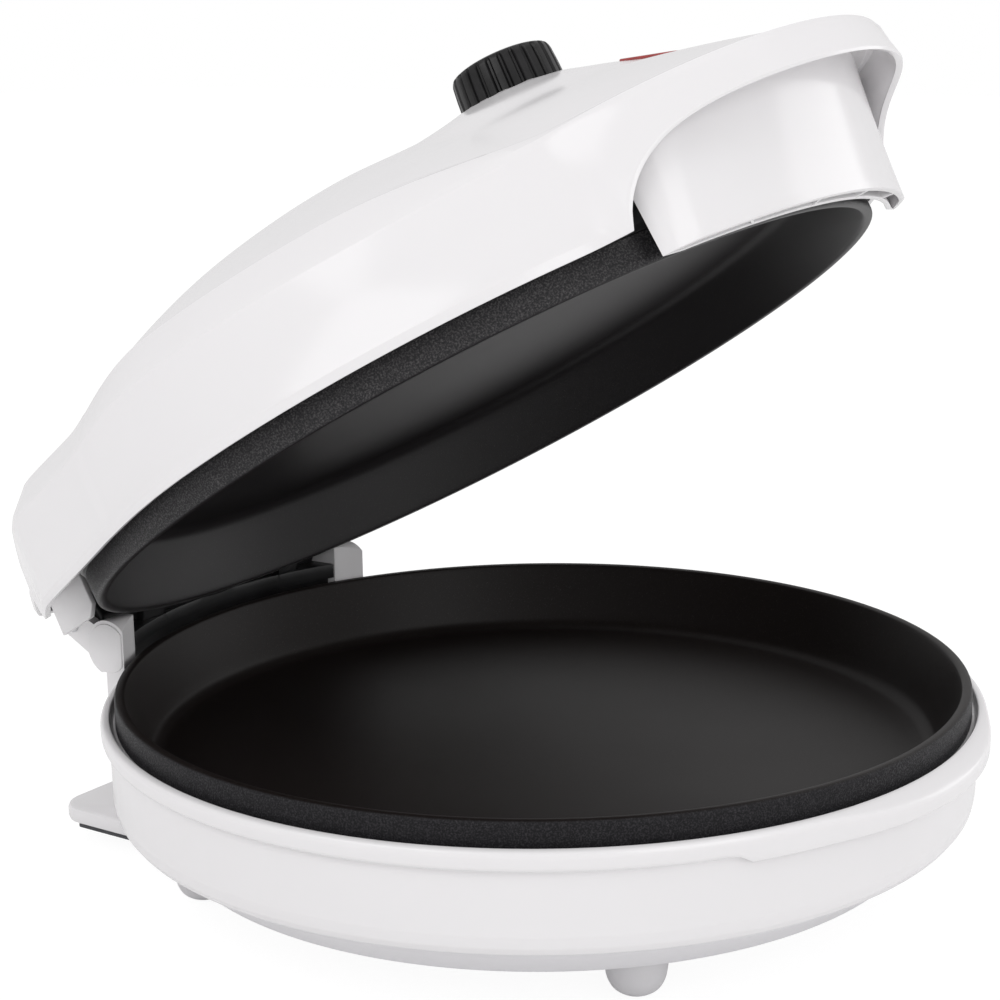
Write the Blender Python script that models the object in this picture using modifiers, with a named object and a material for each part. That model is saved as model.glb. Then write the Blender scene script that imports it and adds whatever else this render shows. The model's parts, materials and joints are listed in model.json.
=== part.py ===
"""Electric pizza maker: a round countertop cooker with a hinged lid, modelled with the lid held open.

Metres, +Z up, +X to the right, the handle at the front (-Y) and the hinge at the back (+Y).
The base rests on four feet at Z = 0. The lid's pieces are modelled as they lie when it is shut,
then turned about the hinge axis by the empty that carries them.
"""
import math

import bmesh
import bpy
from mathutils import Vector

# Pans
PAN_RADIUS = 0.160
PAN_DEPTH = 0.027
PAN_SHEET = 0.002
RIM_WIDTH = 0.0035
PAN_BAND = 0.0105
RIM_GAP = 0.001

# Base
WALL = 0.0024
FIT_GAP = 0.0003
PAN_CLEARANCE = 0.0035
SHELL_TOP_DROP = 0.008
SHELL_BAND = 0.007
GROOVE_DEPTH = 0.0034
BODY_HEIGHT = 0.0385
BODY_TAPER = 0.0115
COVER_HEIGHT = 0.013
FOOT_RADIUS = 0.0115
FOOT_HEIGHT = 0.0165
FOOT_FRONT = (0.519 * PAN_RADIUS, -0.572 * PAN_RADIUS)
FOOT_REAR = (0.625 * PAN_RADIUS, 0.531 * PAN_RADIUS)
LIP_REACH = 0.0045
LIP_CIRCLE = 0.79 * PAN_RADIUS
LIP_ANGLE = math.radians(35)
LIP_DROP = 0.003
GLAND_BELOW = 0.034

# Hinge
AXIS_BEHIND = 0.0115
AXIS_ABOVE = 0.0097
OPEN_ANGLE = math.radians(32.1)
POST_INSIDE = 0.070
POST_WIDTH = 0.014
POST_ROUND = 0.0115
POST_BACK = 0.0230
BARREL_RADIUS = 0.009
ARM_MIDDLE = 0.042
ARM_WIDTH = 0.012
FLANGE = 0.0014
PIN_RADIUS = 0.003
RUNNING_GAP = 0.0003
RAIL_HEIGHT = 0.014
HEEL_BELOW = 0.003
HEEL_THICKNESS = 0.0065
HEEL_PAD = 0.002
HEEL_CORNER = 0.012

# Lid
SKIRT_CLEARANCE = 0.0054
LID_RADIUS = PAN_RADIUS + SKIRT_CLEARANCE
SKIRT_BOTTOM = 0.010
SKIRT_TOP = 0.0465
BEAD_LINES = (0.0032, 0.0063)
CHAMFER_HEIGHT = 0.011
CHAMFER_WIDTH = 0.009
CROWN_TOP = 0.1005
CROWN_POWER = 1.8
DRAFT = 0.002
BEAD = 0.0011
NOSE_OUT = 0.036
NOSE_REACH = LID_RADIUS + NOSE_OUT
NOSE_RADIUS = 0.644 * PAN_RADIUS
VISOR_EDGE = 0.0357
ARCH_ANGLE = math.radians(31.6)
ARCH_CORNER = 7.0
REAR_START = (LID_RADIUS - 0.0104, 0.055)
REAR_CORNER = (LID_RADIUS - 0.0234, 0.108)
REAR_BACK = (0.078, LID_RADIUS + 0.0186)
REAR_EDGE = 0.022
CORNER_EDGE = 0.0065
COVER_CREASE = 0.050
COVER_FOOT = 0.0565
HANDLE_HALF = math.radians(30)
HANDLE_INSIDE = PAN_RADIUS + 0.0045
HANDLE_OUTSIDE = PAN_RADIUS + 0.012
HANDLE_LEAN = 0.009

# Control
KNOB_RADIUS = 0.020
KNOB_HEIGHT = 0.016
KNOB_FORWARD = 0.074
KNOB_TILT = math.radians(5)
KNOB_RIBS = 26
PLINTH_HEIGHT = 0.0932
PLINTH_FOOT = 0.046
PLINTH_DEPTH = 0.008
SHAFT_RADIUS = 0.003
LENS_FORWARD = 0.131
LENS_LENGTH = 0.023
LENS_WIDTH = 0.008
LENS_PROUD = 0.0009

# The open maker's middle lies behind the pans' centre by this much.
MIDDLE_BEHIND = 0.01321

AXIS_Y = PAN_RADIUS + AXIS_BEHIND
SHELL_RADIUS = PAN_RADIUS + PAN_CLEARANCE + 0.002
BODY_RADIUS = SHELL_RADIUS - GROOVE_DEPTH
BODY_BOTTOM = -(SHELL_TOP_DROP + BODY_HEIGHT)
COVER_BOTTOM = BODY_BOTTOM - COVER_HEIGHT
RIM_HEIGHT = FOOT_HEIGHT - COVER_BOTTOM
HEEL_TOP = COVER_BOTTOM - HEEL_BELOW
NOSE_CENTRE = NOSE_REACH - NOSE_RADIUS


def clear_scene():
    for item in list(bpy.data.objects):
        bpy.data.objects.remove(item, do_unlink=True)


def new_collection(name):
    collection = bpy.data.collections.new(name)
    bpy.context.scene.collection.children.link(collection)
    return collection


def material(name, colour, roughness, metallic=0.0):
    made = bpy.data.materials.new(name)
    made.use_nodes = True
    surface = made.node_tree.nodes["Principled BSDF"]
    surface.inputs["Base Color"].default_value = (*colour, 1.0)
    surface.inputs["Roughness"].default_value = roughness
    surface.inputs["Metallic"].default_value = metallic
    made.diffuse_color = (*colour, 1.0)
    return made


def place(item, finish, carrier, at=(0.0, 0.0, 0.0), turn=(0.0, 0.0, 0.0)):
    """Puts an object into the maker's collection, on the empty that carries it."""
    for owner in list(item.users_collection):
        owner.objects.unlink(item)
    MAKER.objects.link(item)
    item.parent = carrier
    item.location = at
    item.rotation_euler = turn
    item.data.materials.clear()
    item.data.materials.append(finish)
    item.data.shade_smooth()
    item.data.set_sharp_from_angle(angle=math.radians(35))
    return item


def as_cutter(item, carrier, at=(0.0, 0.0, 0.0), turn=(0.0, 0.0, 0.0)):
    for owner in list(item.users_collection):
        owner.objects.unlink(item)
    CUTTERS.objects.link(item)
    item.parent = carrier
    item.location = at
    item.rotation_euler = turn
    item.hide_render = True
    item.display_type = "WIRE"
    return item


def combine(item, tool, operation="DIFFERENCE"):
    change = item.modifiers.new(operation.title(), "BOOLEAN")
    change.operation = operation
    change.object = tool
    return change


def soften(item, width, segments=2):
    edge = item.modifiers.new("Rounded edges", "BEVEL")
    edge.width = width
    edge.segments = segments
    edge.limit_method = "ANGLE"
    edge.angle_limit = math.radians(40)
    return edge


def turned(name, profile, steps=64):
    """A turned piece: the profile, outer side first and downwards, with a Screw modifier."""
    mesh = bpy.data.meshes.new(name)
    points = [(radius, 0.0, height) for radius, height in profile]
    links = [(index, index + 1) for index in range(len(points) - 1)]
    if profile[0][0] > 0.0:
        links.append((len(points) - 1, 0))
    mesh.from_pydata(points, links, [])
    item = bpy.data.objects.new(name, mesh)
    bpy.context.scene.collection.objects.link(item)
    screw = item.modifiers.new("Turned", "SCREW")
    screw.steps = steps
    screw.render_steps = steps
    screw.use_merge_vertices = True
    screw.merge_threshold = 0.00002
    screw.use_smooth_shade = True
    return item


def lofted(name, sections, ring=False, closed=True, tip=None, lids=False):
    """Skins a row of sections that are unlike each other, the way a hull is skinned.

    Closed sections that don't run round in a ring are capped at both ends. Open sections in a
    ring end in a tip, or are closed by two lids where their first and last points lie.
    """
    bm = bmesh.new()
    rows = [[bm.verts.new(point) for point in section] for section in sections]
    apex = bm.verts.new(tip) if tip is not None else None
    count = len(rows[0])
    spans = count if closed else count - 1
    pairs = list(zip(rows, rows[1:]))
    if ring:
        pairs.append((rows[-1], rows[0]))
    for row, following in pairs:
        for index in range(spans):
            after = (index + 1) % count
            bm.faces.new((row[index], row[after], following[after], following[index]))
        if apex is not None:
            bm.faces.new((row[-1], apex, following[-1]))
    if closed and not ring:
        bm.faces.new(rows[0])
        bm.faces.new(rows[-1])
    if lids:
        bm.faces.new([row[0] for row in rows])
        bm.faces.new([row[-1] for row in rows])
    bmesh.ops.recalc_face_normals(bm, faces=bm.faces)
    mesh = bpy.data.meshes.new(name)
    bm.to_mesh(mesh)
    bm.free()
    item = bpy.data.objects.new(name, mesh)
    bpy.context.scene.collection.objects.link(item)
    return item


def block(name, size, at=(0.0, 0.0, 0.0)):
    bpy.ops.mesh.primitive_cube_add(size=1.0)
    item = bpy.context.object
    item.name = name
    item.data.name = name
    for vertex in item.data.vertices:
        vertex.co = Vector(part * whole + shift for part, whole, shift in zip(vertex.co, size, at))
    return item


def rod(name, radius, low, high, sides=24, top_radius=None):
    """A round bar or cone frustum along Z, from low to high."""
    bm = bmesh.new()
    bmesh.ops.create_cone(bm, cap_ends=True, segments=sides, radius1=radius,
                          radius2=radius if top_radius is None else top_radius, depth=high - low)
    bmesh.ops.translate(bm, verts=bm.verts, vec=(0.0, 0.0, (low + high) / 2))
    mesh = bpy.data.meshes.new(name)
    bm.to_mesh(mesh)
    bm.free()
    item = bpy.data.objects.new(name, mesh)
    bpy.context.scene.collection.objects.link(item)
    return item


def side_plate(name, outline, width, hole=None):
    """A plate cut to an outline in the YZ plane, as thick as its width along X."""
    curve = bpy.data.curves.new(name, "CURVE")
    curve.dimensions = "2D"
    curve.fill_mode = "BOTH"
    curve.extrude = width / 2
    loops = [outline] if hole is None else [outline, hole]
    for loop in loops:
        spline = curve.splines.new("POLY")
        spline.points.add(len(loop) - 1)
        for point, (along, up) in zip(spline.points, loop):
            point.co = (along, up, 0.0, 1.0)
        spline.use_cyclic_u = True
    drawn = bpy.data.objects.new(name + "_outline", curve)
    bpy.context.scene.collection.objects.link(drawn)
    bpy.context.view_layer.update()
    mesh = bpy.data.meshes.new_from_object(drawn.evaluated_get(bpy.context.evaluated_depsgraph_get()))
    bpy.data.objects.remove(drawn, do_unlink=True)
    bm = bmesh.new()
    bm.from_mesh(mesh)
    bmesh.ops.remove_doubles(bm, verts=bm.verts, dist=0.000005)
    for vertex in bm.verts:
        along, up, across = vertex.co
        vertex.co = (across, along, up)
    bmesh.ops.recalc_face_normals(bm, faces=bm.faces)
    bm.to_mesh(mesh)
    bm.free()
    item = bpy.data.objects.new(name, mesh)
    bpy.context.scene.collection.objects.link(item)
    return item


def arc(centre, radius, start, end, steps):
    turns = [math.radians(start + (end - start) * step / steps) for step in range(steps + 1)]
    return [(centre[0] + radius * math.cos(turn), centre[1] + radius * math.sin(turn)) for turn in turns]


def smooth_step(low, high, value):
    share = min(1.0, max(0.0, (value - low) / (high - low)))
    return share * share * (3.0 - 2.0 * share)


def smooth_greater(first, second, blend):
    return (first + second + math.sqrt((first - second) ** 2 + blend ** 2)) / 2


def smooth_less(first, second, blend):
    return (first + second - math.sqrt((first - second) ** 2 + blend ** 2)) / 2


def mix(first, second, share):
    return first + (second - first) * share


def heading(angle, radius, height):
    """A point at an angle from the front, counted towards the right side."""
    return (radius * math.sin(angle), -radius * math.cos(angle), height)


def headings(fine_from, fine_to, coarse=5.0, fine=1.25):
    """Angles round the maker in degrees, closer together where an edge turns sharply."""
    half = []
    angle = 0.0
    while angle < 180.0 - coarse / 2:
        half.append(angle)
        angle += fine if fine_from <= angle < fine_to else coarse
    right = [math.radians(value) for value in half] + [math.pi]
    left = [-value for value in reversed(right[1:-1])]
    return right + left


def circle_reach(angle, centre, radius):
    """How far a circle set forward by centre reaches at this angle from the front."""
    across = centre * math.sin(angle)
    if abs(across) >= radius:
        return 0.0
    return centre * math.cos(angle) + math.sqrt(radius ** 2 - across ** 2)


def edge_reach(angle, first, second):
    """How far the straight line through two plan points reaches at this angle, on the right half."""
    normal = Vector((second[1] - first[1], first[0] - second[0])).normalized()
    distance = normal.dot(Vector(first))
    direction = Vector((abs(math.sin(angle)), -math.cos(angle)))
    facing = normal.dot(direction)
    return distance / facing if facing > 0.2 else 1.0


def lid_outline(angle):
    """The lid's plan: a circle, drawn out to the visor in front and to the hinge cover behind."""
    nose = circle_reach(angle, NOSE_CENTRE, NOSE_RADIUS)
    outline = smooth_greater(LID_RADIUS, nose, 0.004)
    if math.cos(angle) < 0.0:
        side = edge_reach(angle, REAR_START, REAR_CORNER)
        slant = edge_reach(angle, REAR_CORNER, REAR_BACK)
        back = REAR_BACK[1] / -math.cos(angle) if math.cos(angle) < -0.2 else 1.0
        cover = smooth_less(smooth_less(side, slant, 0.006), back, 0.006)
        outline = smooth_greater(outline, cover, 0.0025)
    return outline


def lid_bottom(angle):
    """The height of the lid's lower edge, which arches up over the handle."""
    turn = abs(angle)
    behind = math.degrees(math.pi - turn)
    if turn < ARCH_ANGLE:
        return mix(SKIRT_BOTTOM, VISOR_EDGE, (1.0 - (turn / ARCH_ANGLE) ** ARCH_CORNER) ** 0.7)
    corner = mix(CORNER_EDGE, SKIRT_BOTTOM, smooth_step(60, 72, behind))
    return mix(REAR_EDGE, corner, smooth_step(30, 43, behind))


def lid_levels(angle):
    """Radius and height of each edge on the way from the skirt's lower edge to the crown's foot."""
    front = 1.0 - smooth_step(math.radians(28), math.radians(62), abs(angle))
    behind = 1.0 - smooth_step(74, 83, math.degrees(math.pi - abs(angle)))
    bead = BEAD * smooth_step(ARCH_ANGLE, ARCH_ANGLE + math.radians(4), abs(angle))
    outline = lid_outline(angle)
    bottom = lid_bottom(angle)
    skirt_top = mix(SKIRT_TOP, COVER_CREASE - CHAMFER_WIDTH, behind)
    low, high = [line * min(1.0, (skirt_top - bottom) / (skirt_top - SKIRT_BOTTOM)) for line in BEAD_LINES]
    shoulder = outline - DRAFT
    crease_radius = shoulder - mix(CHAMFER_WIDTH, 0.0026, front)
    crease_height = mix(SKIRT_TOP + mix(CHAMFER_HEIGHT, 0.0041, front), COVER_CREASE, behind)
    ledge_radius = mix(crease_radius - 0.0015, min(crease_radius - 0.0015, PAN_RADIUS - 0.012), behind)
    foot_radius = mix(crease_radius - 0.003, min(ledge_radius - 0.0015, PAN_RADIUS - 0.019), behind)
    foot_height = mix(crease_height + mix(0.0015, -0.0003, front), COVER_FOOT, behind)
    ledge_height = mix(mix(crease_height, foot_height, 0.5), COVER_CREASE + 0.0015, behind)
    return [(outline + bead - 0.0005, bottom), (outline + bead, bottom + low),
            (outline - 0.0002, bottom + high), (shoulder + 0.0004, skirt_top - 0.0018 + 0.0030 * front),
            (shoulder - 0.0012 + 0.0006 * front, skirt_top + 0.0009 + 0.0026 * front),
            (crease_radius, crease_height),
            (ledge_radius, ledge_height), (foot_radius, foot_height)]


def crown_height(angle, radius):
    foot_radius, foot_height = lid_levels(angle)[-1]
    return mix(CROWN_TOP, foot_height, (radius / foot_radius) ** CROWN_POWER)


def crown_underside(angle, radius):
    """The height just clear of the crown's inner skin."""
    foot_radius, foot_height = lid_levels(angle)[-1]
    share = (radius / foot_radius) ** (CROWN_POWER - 1.0)
    slope = CROWN_POWER * (CROWN_TOP - foot_height) / foot_radius * share
    return crown_height(angle, radius) - (WALL + FIT_GAP) * math.sqrt(1.0 + slope ** 2)


def make_base_shell():
    """The white tub, a ring whose front lip stands proud under the handle."""
    top = -SHELL_TOP_DROP
    lip_centre = SHELL_RADIUS + LIP_REACH - LIP_CIRCLE
    sections = []
    for angle in headings(31, 37, coarse=6.2, fine=1.0):
        reach = circle_reach(angle, lip_centre, LIP_CIRCLE)
        lip = 1.0 - smooth_step(LIP_ANGLE - math.radians(1.8), LIP_ANGLE, abs(angle))
        edge = mix(SHELL_RADIUS, smooth_greater(SHELL_RADIUS, reach, 0.001), lip)
        stretch = (edge - SHELL_RADIUS) / LIP_REACH
        band_bottom = top - SHELL_BAND - LIP_DROP * lip
        ledge = PAN_RADIUS - 0.004
        seat = -(PAN_BAND + FIT_GAP)
        outline = [
            (PAN_RADIUS + PAN_CLEARANCE, top),
            (mix(SHELL_RADIUS, edge, 0.93) - 0.0006, top - 0.0006 - 0.0027 * stretch),
            (edge, top - 0.0022 - 0.0030 * stretch),
            (edge - 0.0002, band_bottom + 0.001),
            (edge - 0.001 - 0.0004 * lip, band_bottom),
            (BODY_RADIUS, band_bottom - 0.0008),
            (BODY_RADIUS + 0.0003, band_bottom - 0.003),
            (BODY_RADIUS, top - 0.78 * BODY_HEIGHT),
            (BODY_RADIUS - 0.0008, top - 0.885 * BODY_HEIGHT),
            (BODY_RADIUS - 0.0030, BODY_BOTTOM + 0.0015),
            (BODY_RADIUS + 0.0028 - BODY_TAPER, BODY_BOTTOM),
            (BODY_RADIUS - 0.0005 - BODY_TAPER, BODY_BOTTOM),
            (BODY_RADIUS - 0.0062, BODY_BOTTOM + 0.0028),
            (BODY_RADIUS - WALL - 0.0012, top - 0.86 * BODY_HEIGHT),
            (BODY_RADIUS - WALL, top - 0.76 * BODY_HEIGHT),
            (BODY_RADIUS - WALL, seat - 0.0048),
            (ledge, seat - 0.0022),
            (ledge, seat),
            (PAN_RADIUS + PAN_CLEARANCE - 0.0022, seat),
            (PAN_RADIUS + PAN_CLEARANCE - 0.0014, top),
        ]
        sections.append([heading(angle, radius, height) for radius, height in outline])
    item = lofted("base_shell", sections, ring=True)
    return place(item, WHITE, BASE)


def make_base_bottom():
    """The stepped tray that closes the tub from below."""
    rim = BODY_RADIUS + 0.0028 - BODY_TAPER
    top = BODY_BOTTOM - FIT_GAP
    profile = [(0.0, COVER_BOTTOM + WALL), (rim - 0.0148, COVER_BOTTOM + WALL),
               (rim - 0.0062, top - 0.0030), (rim - 0.0050, top), (rim - 0.0022, top),
               (rim - 0.0036, top - 0.0036), (rim - 0.0117, COVER_BOTTOM + 0.0014),
               (rim - 0.0134, COVER_BOTTOM), (0.0, COVER_BOTTOM)]
    return place(turned("base_bottom", profile), GREY, BASE)


def pan_profile():
    """Half a pan's section, from the middle of its hollow side, rim at height 0, hollow upwards."""
    wall_foot = PAN_RADIUS - 0.011
    inside = [(0.0, -PAN_DEPTH), (wall_foot - 0.008, -PAN_DEPTH), (wall_foot - 0.003, -PAN_DEPTH + 0.0012),
              (wall_foot, -PAN_DEPTH + 0.005), (PAN_RADIUS - RIM_WIDTH - 0.0004, -0.0008),
              (PAN_RADIUS - RIM_WIDTH, 0.0)]
    band = [(PAN_RADIUS - 0.0006, 0.0), (PAN_RADIUS, -0.0006), (PAN_RADIUS, -PAN_BAND),
            (PAN_RADIUS - PAN_SHEET, -PAN_BAND)]
    outside = [(PAN_RADIUS - PAN_SHEET, -0.006), (PAN_RADIUS - RIM_WIDTH - PAN_SHEET, -0.0075),
               (wall_foot + 0.0004, -PAN_DEPTH + 0.004), (wall_foot - 0.003, -PAN_DEPTH - 0.0014),
               (wall_foot - 0.008, -PAN_DEPTH - PAN_SHEET), (0.0, -PAN_DEPTH - PAN_SHEET)]
    return inside + band + outside


def make_pans():
    place(turned("base_pan", pan_profile(), steps=60), BLACK, BASE)
    upper = [(radius, RIM_GAP - height) for radius, height in reversed(pan_profile())]
    place(turned("lid_pan", upper, steps=60), BLACK, LID, lid_place())


def make_lid_pan_ring():
    """The ring that holds the upper pan's band inside the skirt."""
    inside = LID_RADIUS - 0.0002 - WALL - 2 * FIT_GAP
    low = RIM_GAP + PAN_BAND + FIT_GAP
    profile = [(inside, low + 0.0105), (inside, low + 0.0062), (PAN_RADIUS, low + 0.0022), (PAN_RADIUS, low),
               (PAN_RADIUS - PAN_SHEET, low), (PAN_RADIUS - PAN_SHEET, low + 0.0032),
               (inside - 0.0016, low + 0.0076), (inside - 0.0016, low + 0.0105)]
    place(turned("lid_pan_ring", profile, steps=60), BLACK, LID, lid_place())


def make_heaters():
    """The two sheathed elements and the bright dishes behind them."""
    ring = 0.66 * PAN_RADIUS
    tube = 0.0033
    back = PAN_DEPTH + PAN_SHEET + FIT_GAP
    dish = back + 2 * tube + FIT_GAP
    rim = PAN_RADIUS - 0.022
    lower, upper = Vector((0.0, 0.0, 0.0)), Vector(lid_place()) + Vector((0.0, 0.0, RIM_GAP))
    for name, carrier, way, middle in (("lower", BASE, -1.0, lower), ("upper", LID, 1.0, upper)):
        bpy.ops.mesh.primitive_torus_add(major_radius=ring, minor_radius=tube, major_segments=36,
                                         minor_segments=8)
        element = bpy.context.object
        element.name = name + "_element"
        place(element, STEEL, carrier, middle + Vector((0.0, 0.0, way * (back + tube))))
        profile = [(0.0, -dish), (rim - 0.006, -dish), (rim - 0.001, -dish + 0.004), (rim, -dish + 0.0036),
                   (rim - 0.0052, -dish - 0.0008), (0.0, -dish - 0.0008)]
        if way > 0.0:
            profile = [(radius, -height) for radius, height in reversed(profile)]
        place(turned(name + "_reflector", profile, steps=48), STEEL, carrier, middle)


def make_feet():
    """Four round-nosed feet screwed up into the tray."""
    low = -RIM_HEIGHT
    high = COVER_BOTTOM - FIT_GAP
    profile = [(0.0, high), (FOOT_RADIUS, high), (FOOT_RADIUS - 0.0014, low + 0.0060),
               (FOOT_RADIUS - 0.0032, low + 0.0025), (FOOT_RADIUS - 0.0060, low + 0.0006),
               (FOOT_RADIUS - 0.0080, low), (0.0, low)]
    for side, way in (("left", -1), ("right", 1)):
        for end, (across, along) in (("front", FOOT_FRONT), ("rear", FOOT_REAR)):
            foot = turned("foot_" + end + "_" + side, profile, steps=28)
            place(foot, GREY, BASE, (way * across, along, 0.0))


def tub_clearance(name):
    """The tub's outside with a little room round it, which shapes whatever is fixed against it."""
    room = 0.0005
    band_bottom = -SHELL_TOP_DROP - SHELL_BAND
    band, body = SHELL_RADIUS + room, BODY_RADIUS + 0.0003 + room
    profile = [(0.0, POST_ROUND), (band, POST_ROUND), (band, band_bottom - room),
               (body, band_bottom - 0.003), (body, -RIM_HEIGHT), (0.0, -RIM_HEIGHT)]
    return as_cutter(turned(name, profile, steps=96), BASE)


def make_posts():
    """The two posts that carry the hinge, each with its end cap and pin, on the heel plate."""
    back = AXIS_Y - POST_BACK
    front = back - 0.0115
    foot = HEEL_TOP + FIT_GAP
    neck = BODY_BOTTOM + 0.0105
    outline = ([(back, foot), (back, neck), (back + 0.0035, neck + 0.010), (AXIS_Y - 0.0085, -0.0135),
                (AXIS_Y + 0.0045, -0.0035)] + arc((AXIS_Y, AXIS_ABOVE), POST_ROUND, -50, 185, 24)
               + [(AXIS_Y - 0.015, -0.002), (AXIS_Y - 0.0215, -0.012), (front, -0.022), (front, foot)])
    hole = arc((AXIS_Y, AXIS_ABOVE), PIN_RADIUS + RUNNING_GAP, 0, 345, 23)
    tub = tub_clearance("post_clearance")
    middle = POST_INSIDE + POST_WIDTH / 2
    for name, way in (("left", -1), ("right", 1)):
        post = side_plate("hinge_post_" + name, outline, POST_WIDTH, hole)
        place(post, WHITE, BASE, (way * middle, 0.0, 0.0))
        combine(post, tub)
        cap = turned("hinge_cap_" + name,
                     [(0.0, 0.0016), (POST_ROUND - 0.0034, 0.0014), (POST_ROUND - 0.0012, 0.0),
                      (0.0, 0.0)], steps=32)
        face = way * (POST_INSIDE + POST_WIDTH + FIT_GAP)
        place(cap, WHITE, BASE, (face, AXIS_Y, AXIS_ABOVE), (0.0, way * math.pi / 2, 0.0))
        pin = rod("hinge_pin_" + name, PIN_RADIUS, POST_INSIDE - 0.012, POST_INSIDE + POST_WIDTH, sides=24)
        place(pin, STEEL, BASE, (0.0, AXIS_Y, AXIS_ABOVE), (0.0, way * math.pi / 2, 0.0))


def make_rail():
    """The black rail that joins the posts behind the tub, hollowed to let the barrel and its arms turn."""
    half = POST_INSIDE - FIT_GAP
    back, front = AXIS_Y + 0.003, AXIS_Y - POST_BACK
    top = AXIS_ABOVE - BARREL_RADIUS
    rail = block("hinge_rail", (2 * half, back - front, RAIL_HEIGHT),
                 (0.0, (back + front) / 2, top - RAIL_HEIGHT / 2))
    place(rail, BLACK, BASE)
    combine(rail, tub_clearance("rail_clearance"))
    sweep = BARREL_RADIUS + FLANGE + 0.0006
    turn = (0.0, math.pi / 2, 0.0)
    axis = (0.0, AXIS_Y, AXIS_ABOVE)
    reach = ARM_WIDTH / 2 + 0.001
    for name, radius, low, high in (("barrel_sweep", sweep, -POST_INSIDE, POST_INSIDE),
                                    ("arm_sweep_left", arm_ring() + 0.0006, -ARM_MIDDLE - reach, reach - ARM_MIDDLE),
                                    ("arm_sweep_right", arm_ring() + 0.0006, ARM_MIDDLE - reach, ARM_MIDDLE + reach)):
        combine(rail, as_cutter(rod(name, radius, low, high, sides=48), BASE, axis, turn))


def make_heel():
    """The heel plate behind the feet, on which the shut maker also stands upright."""
    bottom = HEEL_TOP - HEEL_THICKNESS
    front = AXIS_Y - POST_BACK - 0.014
    back = AXIS_Y + 0.005
    half = POST_INSIDE + POST_WIDTH + 0.0015
    turn_in = half - HEEL_CORNER
    outline = ([(-half, front), (half, front)] + arc((turn_in, back - HEEL_CORNER), HEEL_CORNER, 0, 90, 6)
               + arc((-turn_in, back - HEEL_CORNER), HEEL_CORNER, 90, 180, 6))
    plate = lofted("heel_plate", [[(across, along, height) for across, along in outline]
                                  for height in (bottom, HEEL_TOP)])
    soften(plate, 0.0016)
    place(plate, WHITE, BASE)
    tray = turned("tray_clearance", [(0.0, 0.0), (BODY_RADIUS - 0.0095, 0.0),
                                     (BODY_RADIUS - 0.0095, -RIM_HEIGHT), (0.0, -RIM_HEIGHT)], steps=96)
    combine(plate, as_cutter(tray, BASE))
    for name, way in (("left", -1), ("right", 1)):
        length = POST_BACK + 0.008
        pad = block("heel_pad_" + name, (0.004, length, HEEL_PAD),
                    (way * (half - 0.0042), front + 0.001 + length / 2, bottom - FIT_GAP - HEEL_PAD / 2))
        soften(pad, 0.0006)
        place(pad, RUBBER, BASE)


def make_gland():
    """The bush in the tub's back wall through which the mains lead enters."""
    seat = BODY_RADIUS + 0.0003 + 2 * FIT_GAP
    profile = [(0.0072, 0.0), (0.0072, -0.0035), (0.0056, -0.0045), (0.0056, -0.0100),
               (0.0034, -0.0100), (0.0034, 0.0)]
    gland = turned("cord_gland", [(radius, -height) for radius, height in reversed(profile)], steps=28)
    place(gland, RUBBER, BASE, (0.0, seat, -GLAND_BELOW), (-math.pi / 2, 0.0, 0.0))


def make_lid_shell():
    """The moulded lid: skirt, chamfer and domed crown, drawn out to a visor and a hinge cover."""
    shares = (0.93, 0.83, 0.70, 0.55, 0.38, 0.20)
    sections = []
    for angle in headings(25, 33, fine=0.8):
        foot_radius = lid_levels(angle)[-1][0]
        rises = [(foot_radius * share, crown_height(angle, foot_radius * share)) for share in shares]
        sections.append([heading(angle, radius, height) for radius, height in lid_levels(angle) + rises])
    shell = lofted("lid_shell", sections, ring=True, closed=False, tip=(0.0, 0.0, CROWN_TOP))
    wall = shell.modifiers.new("Wall", "SOLIDIFY")
    wall.thickness = WALL
    wall.offset = -1.0
    wall.use_even_offset = True
    place(shell, WHITE, LID, lid_place())
    knob_at = knob_place()
    tilt = (KNOB_TILT, 0.0, 0.0)
    seat = -0.0004
    plinth = as_cutter(rod("plinth", PLINTH_FOOT, seat - PLINTH_DEPTH, seat, sides=64,
                           top_radius=KNOB_RADIUS + 0.006), LID, knob_at, tilt)
    combine(shell, plinth, "UNION")
    for name, radius, low in (("knob_hollow", KNOB_RADIUS + 0.0012, seat),
                              ("shaft_bore", SHAFT_RADIUS + 0.0007, -KNOB_HEIGHT)):
        combine(shell, as_cutter(rod(name, radius, low, KNOB_HEIGHT, sides=48), LID, knob_at, tilt))
    window = as_cutter(block("lens_window", (LENS_WIDTH + 2 * FIT_GAP, LENS_LENGTH + 2 * FIT_GAP, 0.02)),
                       LID, *lens_place())
    combine(shell, window)


def lid_place():
    """Where the pans' centre at rim level lies, seen from the hinge axis of the shut lid."""
    return (0.0, -AXIS_Y, -AXIS_ABOVE)


def knob_place():
    shift = Vector(lid_place())
    return shift + Vector((0.0, -KNOB_FORWARD, PLINTH_HEIGHT))


def lens_place():
    """The lens lies on the crown's slope in front of the knob."""
    half = LENS_LENGTH / 2
    behind = crown_height(0.0, LENS_FORWARD - half)
    ahead = crown_height(0.0, LENS_FORWARD + half)
    slope = math.atan2(behind - ahead, LENS_LENGTH)
    shift = Vector(lid_place())
    return shift + Vector((0.0, -LENS_FORWARD, (behind + ahead) / 2)), (slope, 0.0, 0.0)


def handle_reach(angle, height):
    """How far out the grip's face lies at this height: it leans out under the visor, least at its ends."""
    lean = HANDLE_LEAN * height / VISOR_EDGE * (1.0 - (angle / HANDLE_HALF) ** 2)
    return min(HANDLE_OUTSIDE + lean, lid_outline(angle) - 0.0055)


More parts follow.
